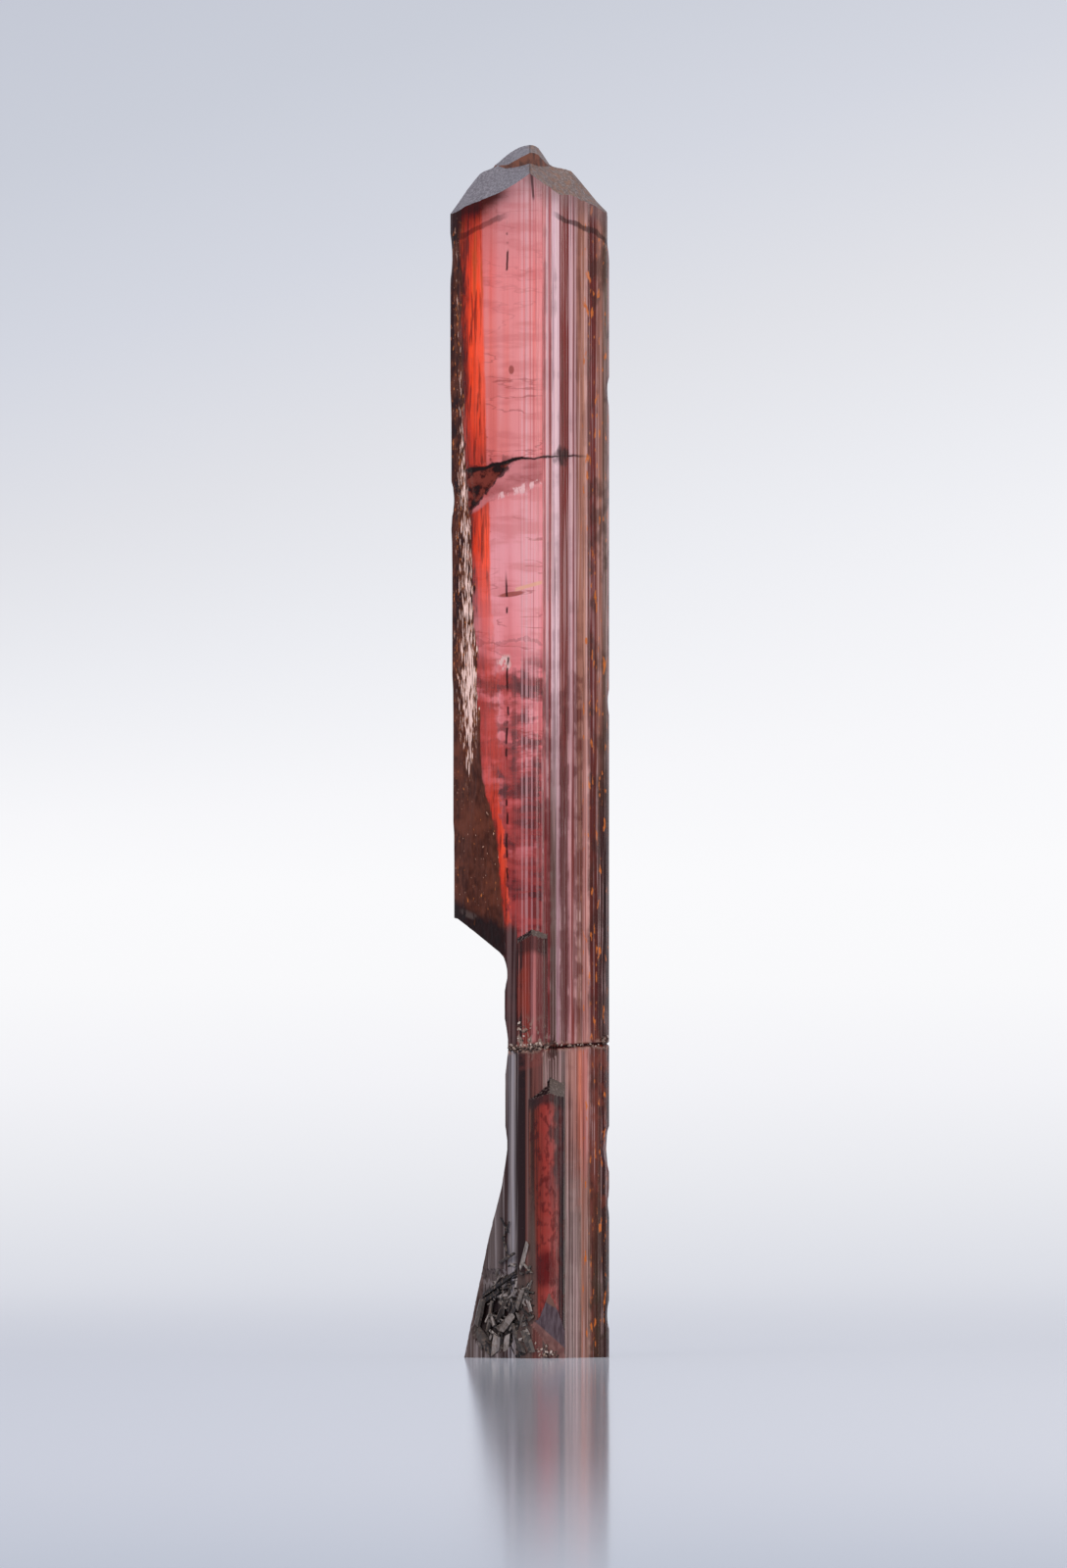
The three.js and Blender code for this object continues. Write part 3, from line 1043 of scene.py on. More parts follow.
        cap, riser, roof = shader.attribute("cap"), shader.attribute("riser"), shader.attribute("roof")
        broken = shader.attribute("broken")
        colour = shader.mix(cap, colour, self.cap_colour(grain))
        rust = shader.mix(shader.rise(grain.fleck, 0.5, 0.1), rgb(90, 68, 63), rgb(122, 84, 72))
        colour = shader.mix(riser, colour, rust)
        # Roof faces: the left slope gets a painted shade and the right slope a lighter, lit tone of the same
        # surface.
        roof_lit_side = shader.rise(x, 0.08 + 0.9 * below, 0.04)
        roof_shade_and_highlight = shader.mix(roof_lit_side, rgb(44, 38, 40), rgb(90, 82, 78))
        roof_shade_and_highlight = shader.mix(shader.rise(grain.speck, 0.58, 0.08) * 0.4, roof_shade_and_highlight, rgb(140, 128, 122))
        # A painted highlight along the top edge of the lower crystal's left roof slope.
        rim = shader.line(z - 0.82 * x, 13.02, 0.05) * below * shader.fall(x, 0.95, 0.05)
        roof_shade_and_highlight = shader.mix(rim * 0.8, roof_shade_and_highlight, rgb(168, 160, 160))
        colour = shader.mix(roof, colour, roof_shade_and_highlight)
        colour = shader.mix(broken, colour, self.scar_colour(grain))
        # Painted shade in the pocket at the foot, behind the needles.
        pocket = ((x + 1.9) * 0.9) ** 2.0 + ((z - 2.0) * 0.62) ** 2.0 + grain.wave * 0.5
        in_pocket = shader.fall(pocket, 0.75, 0.45) * shader.fall(grain.y, 0.0, 0.2)
        colour = shader.mix(in_pocket * 0.9, colour, rgb(38, 32, 33))

        dull = cap | riser | roof | broken | flank | cracks | left_shade | side_column | veiled
        grey_foot = left_foot * (1.0 - lower)
        clear = (1.0 - dull) * (1.0 - grey_foot) * (1.0 - 0.6 * orange_glow)
        clear = clear * (0.36 - 0.26 * shader.rise(x, 0.7, 0.3)) * (0.4 + 0.6 * shader.rise(z, 26.0, 7.0))
        rough = 0.24 + 0.2 * cap + 0.3 * flank + 0.3 * broken + 0.2 * (grain.speck - 0.5)
        return colour, clear, rough

    def core_colour(self, grain: MineralGrain) -> Field:
        """Pink heart of the shaft: broad upright tones, level dark clouds low down, fine lines and marks.

        Args:
            grain: Noises and coordinates.

        Returns:
            The colour.
        """
        shader, x, z = grain.shader, grain.x, grain.z
        colour = shader.ramp(
            z,
            [
                (0.0, rgb(100, 55, 52)), (15.0, rgb(112, 56, 53)), (20.0, rgb(116, 50, 50)),
                (24.0, rgb(106, 38, 40)), (26.5, rgb(132, 50, 52)), (28.5, rgb(200, 94, 98)),
                (30.5, rgb(234, 124, 130)), (33.0, rgb(246, 140, 149)), (36.0, rgb(255, 160, 168)),
                (40.0, rgb(255, 172, 182)), (44.6, rgb(238, 120, 114)), (50.0, rgb(255, 132, 123)),
                (53.5, rgb(250, 110, 101)), (56.4, rgb(206, 106, 102)), (57.6, rgb(158, 100, 102)),
                (60.0, rgb(140, 108, 110)),
            ],
        )
        upper_part = shader.rise(z, 28.0, 4.0)
        broad = grain.noise(1.1, 0.04, 2.0, 41.0)
        colour = shader.mix(shader.rise(broad, 0.52, 0.1) * 0.5 * upper_part, colour, rgb(254, 184, 192))
        colour = shader.mix(shader.fall(broad, 0.42, 0.08) * 0.35, colour, rgb(210, 88, 86))
        low = shader.fall(z, 34.4, 1.0)
        laid = grain.noise(0.55, 1.25, 5.0, 44.0) + (grain.streak - 0.5) * 0.3
        colour = shader.mix(shader.rise(laid, 0.48, 0.06) * low * 0.8, colour, rgb(112, 32, 35))
        colour = shader.mix(shader.rise(laid, 0.56, 0.05) * low * 0.8, colour, rgb(62, 19, 24))
        bright = shader.fall(laid, 0.4, 0.05) * shader.band(z, 24.5, 34.0, 1.0) * shader.fall(x, 0.7, 0.3)
        colour = shader.mix(bright * 0.5, colour, rgb(226, 122, 128))
        warm = shader.rise(grain.noise(0.9, 0.5, 3.0, 46.0), 0.5, 0.08) * shader.fall(x, -0.9, 0.5) * low
        colour = shader.mix(warm * 0.7, colour, rgb(206, 66, 58))
        level = z + grain.wave * 0.9 + (grain.fleck - 0.5) * 0.25
        bands = shader.line(level, 33.2, 0.12) | shader.line(level, 30.4, 0.1)
        bands = bands | shader.line(level, 27.8, 0.16)
        bands = bands | shader.line(level, 35.4, 0.06) * 0.5 | shader.line(level, 24.6, 0.14)
        bands = bands * shader.rise(grain.cloud, 0.45, 0.08) * shader.fall(x, 0.9, 0.3)
        colour = shader.mix(bands * 0.7, colour, rgb(80, 26, 30))
        blob = shader.fall(((x - 0.6) * 0.9) ** 2.0 + ((z - 33.4) * 1.6) ** 2.0 + grain.wave * 0.1, 0.1, 0.06)
        colour = shader.mix(blob * 0.8, colour, rgb(66, 22, 28))
        lined = (0.06 + 0.3 * shader.rise(x, -0.5, 0.4)) * (0.45 + 0.55 * upper_part)
        colour = shader.mix(shader.rise(grain.fine, 0.58, 0.05) * lined, colour, rgb(250, 204, 209))
        colour = shader.mix(shader.fall(grain.fine, 0.41, 0.04) * lined, colour, rgb(160, 62, 64))
        pale = shader.line(x, -0.16, 0.04) * 0.5 | shader.line(x, -0.38, 0.03) * 0.4
        pale = pale | shader.line(x, 0.1, 0.03) * 0.4
        pale = pale * shader.rise(z, 20.0, 2.0) * (0.6 + 0.4 * upper_part)
        colour = shader.mix(pale, colour, rgb(242, 200, 207))
        return self.core_marks(grain, colour)

    def core_marks(self, grain: MineralGrain, colour: Field) -> Field:
        """Lays hair cracks, rust spots, a lens with a pale tail and a scuff over the pink heart.

        Args:
            grain: Noises and coordinates.
            colour: What they lie on.

        Returns:
            The colour with the marks.
        """
        shader, x, z = grain.shader, grain.x, grain.z
        crackle = grain.noise(0.22, 1.1, 4.0, 42.0)
        hair = shader.fall(abs(crackle - 0.5), 0.009, 0.008)
        hair = hair * shader.rise(grain.noise(0.8, 0.5, 2.0, 43.0), 0.42, 0.08)
        colour = shader.mix(hair * (0.5 - 0.3 * shader.rise(z, 50.0, 1.5)), colour, rgb(150, 56, 52))
        haze = shader.rise(grain.noise(0.35, 1.6, 4.0, 47.0), 0.54, 0.08) * shader.fall(x, 0.6, 0.4)
        colour = shader.mix(haze * 0.3, colour, rgb(196, 84, 82))
        spot = shader.fall(((x + 0.91) * 1.6) ** 2.0 + (z - 48.8) ** 2.0 + grain.wave * 0.05, 0.05, 0.02)
        colour = shader.mix(spot * 0.8, colour, rgb(150, 54, 38))
        vein = shader.line(z + grain.wave * 0.3, 48.25, 0.03) * shader.band(x, -1.8, -0.9, 0.15)
        colour = shader.mix(vein * 0.6, colour, rgb(150, 56, 48))
        lens = shader.fall(((x + 0.9) * 0.6) ** 2.0 + ((z - 37.85 - 0.14 * x) * 3.0) ** 2.0, 0.14, 0.06)
        front = shader.fall(grain.y, 0.0, 0.3)
        colour = shader.mix(lens * front * 0.85, colour, rgb(150, 60, 40))
        tail = shader.line(z - 0.28 * x, 38.15, 0.06) * shader.band(x, -0.7, 0.6, 0.1)
        colour = shader.mix(tail * front * 0.9, colour, rgb(246, 190, 160))
        scuff = shader.band(x, -1.6, -0.95, 0.12) * shader.band(z, 34.0, 34.7, 0.15)
        scuff = scuff * shader.rise(grain.fleck, 0.5, 0.05)
        return shader.mix(scuff * front * 0.8, colour, rgb(244, 216, 212))

    def orange_glow_colour(self, grain: MineralGrain, flank_to: Field, orange_to: Field) -> Field:
        """Orange strip beside the flank: brown at the flank, orange with a painted glow of light through the
        crystal towards the pink.

        Args:
            grain: Noises and coordinates.
            flank_to: Where the flank ends, across.
            orange_to: Where the pink starts, across.

        Returns:
            The colour.
        """
        shader, z = grain.shader, grain.z
        smear = grain.noise(3.0, 0.35, 5.0, 72.0)
        share = (grain.x - flank_to) / (orange_to - flank_to + 0.05) + (smear - 0.5) * 1.3
        colour = shader.ramp(
            share,
            [
                (0.0, rgb(74, 32, 26)), (0.1, rgb(150, 50, 34)), (0.28, rgb(226, 64, 38)),
                (0.55, rgb(255, 80, 42)), (1.0, rgb(255, 100, 74)),
            ],
        )
        dull = shader.profile(
            z,
            [
                (20.0, 0.55), (24.0, 0.4), (28.0, 0.3), (30.0, 0.5), (34.0, 0.5), (36.5, 0.5), (38.0, 0.25),
                (40.5, 0.0), (41.6, 0.4), (44.5, 0.75), (46.0, 0.35), (48.0, 0.1), (53.0, 0.0), (54.6, 0.3),
                (56.4, 0.75),
            ],
        )
        dull = dull + (grain.cloud - 0.5) * 0.9 * shader.fall(z, 50.0, 2.0)
        colour = shader.mix(dull, colour, shader.mix(grain.streak, rgb(96, 30, 28), rgb(190, 70, 60)))
        gold = shader.rise(smear, 0.55, 0.08) * shader.rise(z, 52.0, 1.5)
        colour = shader.mix(gold * 0.6, colour, rgb(176, 84, 40))
        stroke = shader.rise(grain.noise(7.0, 0.5, 4.0, 73.0), 0.57, 0.05) * shader.fall(share, 0.9, 0.4)
        colour = shader.mix(stroke * 0.75, colour, rgb(84, 34, 26))
        return shader.mix(shader.fall(grain.fine, 0.42, 0.05) * 0.3, colour, rgb(132, 40, 30))

    def high_crack_zone(self, grain: MineralGrain, colour: Field) -> tuple[Field, Field]:
        """Lays the brown recess and the mauve veil under the high crack over a colour.

        Args:
            grain: Noises and coordinates.
            colour: What they lie on.

        Returns:
            The colour with both, and a mask of where they are.
        """
        shader, x, z = grain.shader, grain.x, grain.z
        crack = shader.profile(x, list(self.high_crack))
        foot = shader.profile(x, list(self.veil_foot)) + grain.wave * 0.5
        veil = shader.band(z, foot, crack, 0.12) * shader.fall(x, 0.7, 0.3) * shader.fall(grain.y, 0.8, 0.6)
        veil_tone = shader.mix(shader.rise(grain.cloud, 0.5, 0.1), rgb(150, 82, 84), rgb(190, 120, 124))
        colour = shader.mix(veil * 0.8, colour, veil_tone)
        wisp = shader.line(z, foot + 0.1, 0.12) * shader.rise(grain.fleck, 0.5, 0.05)
        wisp = wisp * shader.band(x, -1.6, 0.9, 0.3)
        colour = shader.mix(wisp * 0.7, colour, rgb(240, 206, 208))
        slope = (self.recess_top[1] - self.recess_foot[1]) / (self.recess_top[0] - self.recess_foot[0])
        over = z - (self.recess_foot[1] + slope * (x - self.recess_foot[0])) + grain.wave * 0.35
        recess = shader.rise(over, 0.0, 0.1) * shader.fall(z, crack, 0.08) * shader.band(x, -3.2, -0.85, 0.1)
        recess = recess * shader.fall(grain.y, 0.4, 0.3)
        lit = shader.rise(grain.noise(2.2, 2.2, 5.0, 71.0), 0.48, 0.1)
        tone = shader.mix(lit, rgb(44, 24, 23), rgb(116, 58, 51))
        return shader.mix(recess, colour, tone), recess | veil * 0.7

    def right_face(self, grain: MineralGrain) -> Field:
        """Upright bands of the stepped right face: lilac treads, whose lilac is a painted reflection of the
        lights, red risers and a brown edge.

        Args:
            grain: Noises and coordinates.

        Returns:
            The colour.
        """
        shader, z = grain.shader, grain.z
        x = grain.x + (grain.noise(1.0, 0.05, 2.0, 8.0) - 0.5) * 0.06
        # The pale lilac stops here and in the lower ramps are painted reflections of the lights on the
        # treads.
        high = shader.ramp(
            x,
            [
                (0.6, rgb(205, 112, 116)), (0.76, rgb(206, 116, 120)), (0.8, rgb(224, 182, 188)),
                (0.92, rgb(214, 164, 172)), (0.95, rgb(172, 88, 90)), (1.04, rgb(178, 96, 98)),
                (1.09, rgb(228, 198, 206)), (1.2, rgb(214, 180, 192)), (1.3, rgb(228, 200, 208)),
                (1.45, rgb(212, 178, 188)), (1.49, rgb(114, 35, 33)), (1.7, rgb(124, 50, 46)),
                (1.9, rgb(110, 42, 40)), (1.96, rgb(208, 172, 178)), (2.1, rgb(198, 156, 162)),
                (2.14, rgb(128, 56, 54)), (2.22, rgb(196, 158, 162)), (2.3, rgb(176, 128, 126)),
                (2.34, rgb(156, 108, 95)), (2.6, rgb(168, 118, 102)), (2.66, rgb(192, 140, 120)),
                (2.82, rgb(206, 164, 160)), (2.87, rgb(104, 40, 38)), (3.24, rgb(110, 48, 44)),
                (3.3, rgb(150, 96, 84)), (3.56, rgb(146, 100, 88)), (3.62, rgb(112, 86, 76)),
                (3.8, rgb(106, 88, 78)), (3.86, rgb(170, 130, 128)), (3.96, rgb(150, 122, 120)),
            ],
        )
        low = shader.ramp(
            x,
            [
                (0.6, rgb(136, 58, 60)), (0.98, rgb(128, 56, 57)), (1.03, rgb(112, 92, 88)),
                (1.28, rgb(92, 72, 68)), (1.34, rgb(174, 138, 148)), (1.48, rgb(160, 124, 132)),
                (1.54, rgb(88, 36, 38)), (1.84, rgb(96, 42, 42)), (1.9, rgb(200, 152, 156)),
                (2.02, rgb(196, 144, 146)), (2.07, rgb(126, 64, 62)), (2.17, rgb(134, 72, 68)),
                (2.23, rgb(192, 144, 144)), (2.33, rgb(178, 130, 126)), (2.38, rgb(142, 102, 92)),
                (2.58, rgb(134, 94, 84)), (2.63, rgb(178, 124, 118)), (2.71, rgb(172, 116, 110)),
                (2.75, rgb(134, 80, 73)), (2.8, rgb(204, 150, 144)), (2.94, rgb(194, 138, 132)),
                (2.99, rgb(96, 44, 37)), (3.3, rgb(84, 38, 29)), (3.5, rgb(50, 24, 17)),
                (3.8, rgb(46, 24, 17)), (3.96, rgb(70, 44, 36)),
            ],
        )
        middle = shader.ramp(
            x,
            [
                (0.6, rgb(110, 84, 80)), (1.72, rgb(96, 78, 76)), (1.8, rgb(156, 116, 108)),
                (2.1, rgb(172, 126, 118)), (2.3, rgb(166, 114, 104)), (2.5, rgb(212, 128, 106)),
                (2.62, rgb(172, 106, 96)), (2.8, rgb(188, 122, 116)), (2.92, rgb(158, 99, 93)),
                (2.98, rgb(100, 48, 41)), (3.3, rgb(114, 60, 52)), (3.5, rgb(64, 32, 26)),
                (3.96, rgb(56, 34, 28)),
            ],
        )
        foot = shader.ramp(
            x,
            [
                (0.6, rgb(84, 70, 70)), (1.66, rgb(66, 57, 58)), (1.72, rgb(120, 102, 99)),
                (1.86, rgb(164, 144, 140)), (2.3, rgb(160, 140, 136)), (2.5, rgb(156, 132, 124)),
                (2.6, rgb(164, 114, 98)), (2.7, rgb(156, 117, 106)), (3.0, rgb(138, 105, 95)),
                (3.08, rgb(104, 54, 43)), (3.25, rgb(74, 48, 37)), (3.6, rgb(50, 35, 26)),
                (3.96, rgb(38, 28, 24)),
            ],
        )
        colour = shader.mix(shader.rise(z, 30.0, 5.0), low, high)
        colour = shader.mix(shader.rise(z, 15.3, 0.3), middle, colour)
        colour = shader.mix(shader.rise(z + grain.wave * 4.0, 8.8, 2.5), foot, colour)
        dirt = shader.rise(grain.streak + (grain.cloud - 0.5) * 0.5, 0.56, 0.06)
        colour = shader.mix(dirt * 0.32, colour, rgb(84, 46, 42))
        # Fine pale upright lines: painted glints along the striae.
        colour = shader.mix(shader.rise(grain.fine, 0.58, 0.03) * 0.4, colour, rgb(222, 188, 188))
        colour = shader.mix(shader.fall(grain.fine, 0.42, 0.03) * 0.46, colour, rgb(70, 32, 31))
        mottle = shader.rise(grain.noise(0.9, 0.8, 5.0, 52.0) + (grain.fine - 0.5) * 0.35, 0.5, 0.06)
        mottle = mottle * shader.band(z, 16.0, 34.5, 1.5) * shader.fall(grain.x, 3.1, 0.2)
        treads = shader.band(x, 1.08, 1.46, 0.03) | shader.band(x, 1.95, 2.14, 0.03)
        treads = treads | shader.band(x, 2.62, 2.86, 0.03)
        colour = shader.mix(mottle * (0.6 - 0.45 * treads), colour, rgb(84, 30, 30))
        stain = shader.rise(grain.noise(1.0, 0.7, 4.0, 51.0), 0.55, 0.08) * shader.rise(grain.x, 2.9, 0.15)
        colour = shader.mix(stain * 0.6, colour, rgb(58, 36, 30))
        blotch = shader.rise(grain.noise(1.6, 1.2, 5.0, 53.0), 0.53, 0.06) * shader.rise(grain.x, 2.9, 0.1)
        blotch = blotch * shader.fall(z, 16.0, 1.0)
        blotch_tone = shader.mix(shader.rise(z, 6.0, 2.0), rgb(56, 46, 37), rgb(114, 59, 50))
        colour = shader.mix(blotch * 0.6, colour, blotch_tone)
        rust = shader.rise(grain.noise(5.0, 1.4, 4.0, 9.0), 0.64, 0.03)
        rust = rust * shader.band(grain.x, 2.6, 3.85, 0.15)
        return shader.mix(rust * 0.9, colour, rgb(202, 112, 52))

    def foot_columns(self, grain: MineralGrain) -> Field:
        """Grey and dark columns at the left of the foot.

        Args:
            grain: Noises and coordinates.

        Returns:
            The colour.
        """
        shader = grain.shader
        colour = shader.ramp(
            grain.x,
            [
                (-3.3, rgb(92, 80, 78)), (-2.2, rgb(84, 75, 74)), (-1.6, rgb(98, 90, 91)),
                (-1.3, rgb(60, 49, 49)), (-1.1, rgb(66, 54, 54)), (-1.04, rgb(124, 120, 126)),
                (-0.96, rgb(86, 80, 84)), (-0.86, rgb(150, 148, 156)), (-0.72, rgb(120, 114, 118)),
                (-0.66, rgb(50, 42, 44)), (-0.24, rgb(46, 38, 40)), (-0.18, rgb(96, 62, 58)),
                (-0.06, rgb(112, 90, 88)), (0.02, rgb(64, 46, 45)), (0.2, rgb(104, 66, 62)),
                (0.7, rgb(112, 74, 72)),
            ],
        )
        pale = shader.rise(grain.noise(6.0, 0.12, 3.0, 12.0), 0.55, 0.05)
        pale = pale * shader.fall(grain.x, -0.6, 0.1) * 0.5
        colour = shader.mix(pale, colour, rgb(152, 145, 148))
        dark = shader.fall(grain.fine, 0.43, 0.05) * 0.6
        colour = shader.mix(dark, colour, rgb(44, 37, 38))
        red = shader.rise(grain.cloud, 0.5, 0.08) * shader.rise(grain.z, 13.0, 0.5)
        red = red * shader.rise(grain.x, -0.6, 0.2)
        colour = shader.mix(red * 0.5, colour, rgb(122, 70, 66))
        worn = shader.fall(grain.z + grain.wave * 2.0, 4.4, 0.6) * shader.band(grain.x, -0.7, 0.1, 0.1)
        return shader.mix(worn * 0.7, colour, shader.mix(grain.fleck, rgb(62, 52, 50), rgb(112, 98, 94)))

    def flank_colour(self, grain: MineralGrain) -> Field:
        """Brown, rusty skin of the left flank, with a white scaly streak and a dark lip.

        Args:
            grain: Noises and coordinates.

        Returns:
            The colour.
        """
        shader, x, z = grain.shader, grain.x, grain.z
        colour = shader.mix(shader.rise(grain.fleck, 0.5, 0.25), rgb(60, 36, 31), rgb(92, 56, 47))
        smoke = shader.rise(grain.cloud, 0.55, 0.1) * 0.5
        colour = shader.mix(smoke, colour, rgb(112, 64, 50))
        dark = shader.rise(grain.noise(1.6, 0.8, 4.0, 14.0), 0.5, 0.08) * shader.rise(z, 33.0, 3.0)
        colour = shader.mix(dark * 0.75, colour, rgb(36, 24, 24))
        rust = shader.rise(grain.noise(6.0, 3.0, 4.0, 15.0), 0.7 - 0.05 * shader.rise(z, 33.0, 2.0), 0.03)
        colour = shader.mix(rust * 0.8, colour, rgb(196, 116, 62))
        pale_dots = shader.rise(grain.noise(8.0, 5.0, 3.0, 17.0), 0.72, 0.03) * shader.rise(z, 22.4, 0.5)
        colour = shader.mix(pale_dots * 0.9, colour, rgb(236, 190, 168))
        lip = shader.fall(z + 0.5 * x + grain.wave * 0.5, 20.7, 0.3)
        colour = shader.mix(lip * 0.9, colour, rgb(36, 29, 30))
        smear = shader.fall(((x + 3.0) * 1.3) ** 2.0 + ((z - 21.9 + 0.4 * x + 1.2) * 3.0) ** 2.0, 0.3, 0.25)
        smear = smear * lip * shader.rise(grain.fleck, 0.45, 0.1) * 0.4
        colour = shader.mix(smear, colour, rgb(112, 100, 96))
        middle = shader.profile(z, [(28.0, -3.0), (34.5, -2.99), (39.0, -3.14), (45.0, -3.33), (56.0, -3.7)])
        width = shader.profile(
            z, [(28.0, 0.1), (31.0, 0.2), (34.5, 0.3), (39.0, 0.28), (45.0, 0.13), (56.0, 0.1)]
        )
        solid = shader.profile(
            z,
            [
                (27.5, -0.2), (29.5, -0.1), (31.4, 0.03), (34.0, 0.04), (35.2, -0.06), (40.0, -0.08),
                (43.5, -0.09), (46.0, -0.13), (49.0, -0.22), (56.0, -0.3),
            ],
        )
        off = abs(x - middle) / width
        scales = (grain.noise(13.0, 1.5, 5.0, 16.0) - 0.5) * 1.5 + 0.5 + solid - 0.14 * off
        above = shader.rise(z, 28.6, 0.8)
        colour = shader.mix(shader.rise(scales, 0.36, 0.04) * above * 0.7, colour, rgb(160, 100, 58))
        return shader.mix(shader.rise(scales, 0.43, 0.04) * above, colour, rgb(240, 210, 202))

    def upper_colour(self, grain: MineralGrain) -> Field:
        """Red left face and pinker right face of the upper side crystal, between painted shadow lines at its
        edges and with painted shade under its roof.

        Args:
            grain: Noises and coordinates.

        Returns:
            The colour.
        """
        shader, x, z = grain.shader, grain.x, grain.z
        # The dark stops at both ends are painted shadow lines along the crystal's edges.
        colour = shader.ramp(
            x,
            [
                (-0.62, rgb(34, 27, 29)), (-0.42, rgb(40, 29, 30)), (-0.34, rgb(100, 40, 35)),
                (-0.1, rgb(122, 52, 46)), (0.02, rgb(108, 48, 44)), (0.07, rgb(192, 128, 130)),
                (0.28, rgb(166, 104, 104)), (0.4, rgb(118, 62, 62)), (0.66, rgb(100, 56, 57)),
                (0.76, rgb(58, 44, 45)), (0.89, rgb(48, 40, 41)),
            ],
        )
        colour = shader.mix(shader.rise(grain.fine, 0.56, 0.05) * 0.45, colour, rgb(188, 122, 116))
        colour = shader.mix(shader.fall(grain.streak, 0.46, 0.05) * 0.6, colour, rgb(74, 31, 31))
        blaze = shader.rise(grain.noise(1.4, 0.7, 3.0, 22.0), 0.55, 0.08) * shader.fall(x, 0.2, 0.2)
        colour = shader.mix(blaze * 0.35, colour, rgb(156, 64, 50))
        dust = shader.rise(grain.fleck, 0.56, 0.05) * shader.fall(z, 16.6, 0.6)
        colour = shader.mix(dust * 0.75, colour, rgb(148, 132, 122))
        # Painted shade just under the roof.
        return shader.mix(shader.rise(z, 20.1 - 0.35 * abs(x - 0.1), 0.2) * 0.7, colour, rgb(48, 31, 31))

    def lower_colour(self, grain: MineralGrain) -> Field:
        """Deep red face of the lower side crystal, with a dark right edge, grey clouds, painted highlight
        streaks and painted shade under its roof.

        Args:
            grain: Noises and coordinates.

        Returns:
            The colour.
        """
        shader, x, z = grain.shader, grain.x, grain.z
        colour = shader.ramp(
            x,
            [
                (-0.07, rgb(54, 42, 41)), (0.04, rgb(104, 76, 68)), (0.12, rgb(56, 40, 38)),
                (0.2, rgb(70, 42, 38)), (0.27, rgb(108, 52, 45)), (0.5, rgb(128, 52, 45)),
                (0.85, rgb(152, 67, 63)), (1.1, rgb(146, 72, 70)), (1.36, rgb(122, 66, 66)),
                (1.46, rgb(58, 42, 44)), (1.64, rgb(42, 37, 40)), (1.76, rgb(92, 80, 77)),
            ],
        )
        patch = shader.rise(grain.noise(1.3, 0.7, 4.0, 23.0), 0.52, 0.08) * shader.band(x, 0.4, 1.4, 0.15)
        colour = shader.mix(patch * 0.5, colour, rgb(150, 54, 48))
        smoke = shader.rise(x + grain.wave * 1.6, 1.18, 0.14) * shader.rise(z + grain.wave * 5.0, 8.6, 1.2)
        colour = shader.mix(smoke * 0.8, colour, rgb(50, 38, 42))
        cloud = shader.rise(grain.noise(0.9, 0.4, 3.0, 21.0), 0.54, 0.08) * shader.rise(x, 0.7, 0.3)
        colour = shader.mix(cloud * 0.5, colour, rgb(72, 52, 56))
        # Painted highlight streaks.
        colour = shader.mix(shader.rise(grain.streak, 0.56, 0.05) * 0.25, colour, rgb(160, 78, 68))
        colour = shader.mix(shader.fall(grain.fleck, 0.44, 0.06) * 0.6, colour, rgb(66, 24, 26))
        thread = shader.fall(grain.fine, 0.43, 0.04) * shader.fall(x, 0.7, 0.3) * 0.5
        colour = shader.mix(thread, colour, rgb(62, 30, 28))
        # Painted shade in a band under the roof.
        shade_under_roof = shader.rise(z + 0.35 * abs(x - 0.95) + grain.wave * 0.3, 12.6, 0.2)
        colour = shader.mix(shade_under_roof * 0.8, colour, rgb(48, 40, 42))
        off_maroon = ((x - 0.75) * 1.1) ** 2.0 + ((z - 4.4) * 0.7) ** 2.0
        maroon = shader.fall(off_maroon + grain.wave * 0.3, 0.4, 0.3)
        colour = shader.mix(maroon * 0.8, colour, rgb(74, 24, 28))
        brown_foot = shader.fall(x, 0.46 - 0.03 * z, 0.08) * shader.fall(z, 8.0, 2.0)
        brown = shader.mix(grain.fine, rgb(52, 42, 40), rgb(124, 104, 98))
        return shader.mix(brown_foot * 0.7, colour, brown)

    def scar_colour(self, grain: MineralGrain) -> Field:
        """Broken faces: grey on the stump with a painted bluish reflection of the surroundings, pinker low on
        its left and brown elsewhere.

        Args:
            grain: Noises and coordinates.

        Returns:
            The colour.
        """
        shader, x, z = grain.shader, grain.x, grain.z
        scar = shader.mix(shader.rise(grain.fleck, 0.5, 0.2), rgb(74, 60, 58), rgb(112, 98, 98))
        # Grey of the stump with a painted bluish reflection of the surroundings.
        stump_grey_and_reflection = shader.mix(shader.rise(grain.fine, 0.5, 0.2), rgb(72, 62, 68), rgb(98, 88, 95))
        pink = shader.mix(shader.rise(grain.fleck, 0.5, 0.2), rgb(104, 74, 72), rgb(132, 100, 96))
        tan = shader.rise(z + 0.65 * x + grain.wave * 0.15, 3.3, 0.05)
        stump = shader.mix(shader.fall(z + 0.9 * x, 2.05, 0.06), stump_grey_and_reflection, pink)
        stump = shader.mix(tan * 0.8, stump, rgb(118, 86, 76))
        return shader.mix(shader.band(x, 0.0, 1.8, 0.05) * shader.fall(z, 4.0, 0.1), scar, stump)

    def cap_colour(self, grain: MineralGrain) -> Field:
        """Finely pitted end faces: grey that is partly a painted sheen of the sky, cooler on the left and
        browner on the right.

        Args:
            grain: Noises and coordinates.

        Returns:
            The colour.
        """
        shader, x = grain.shader, grain.x
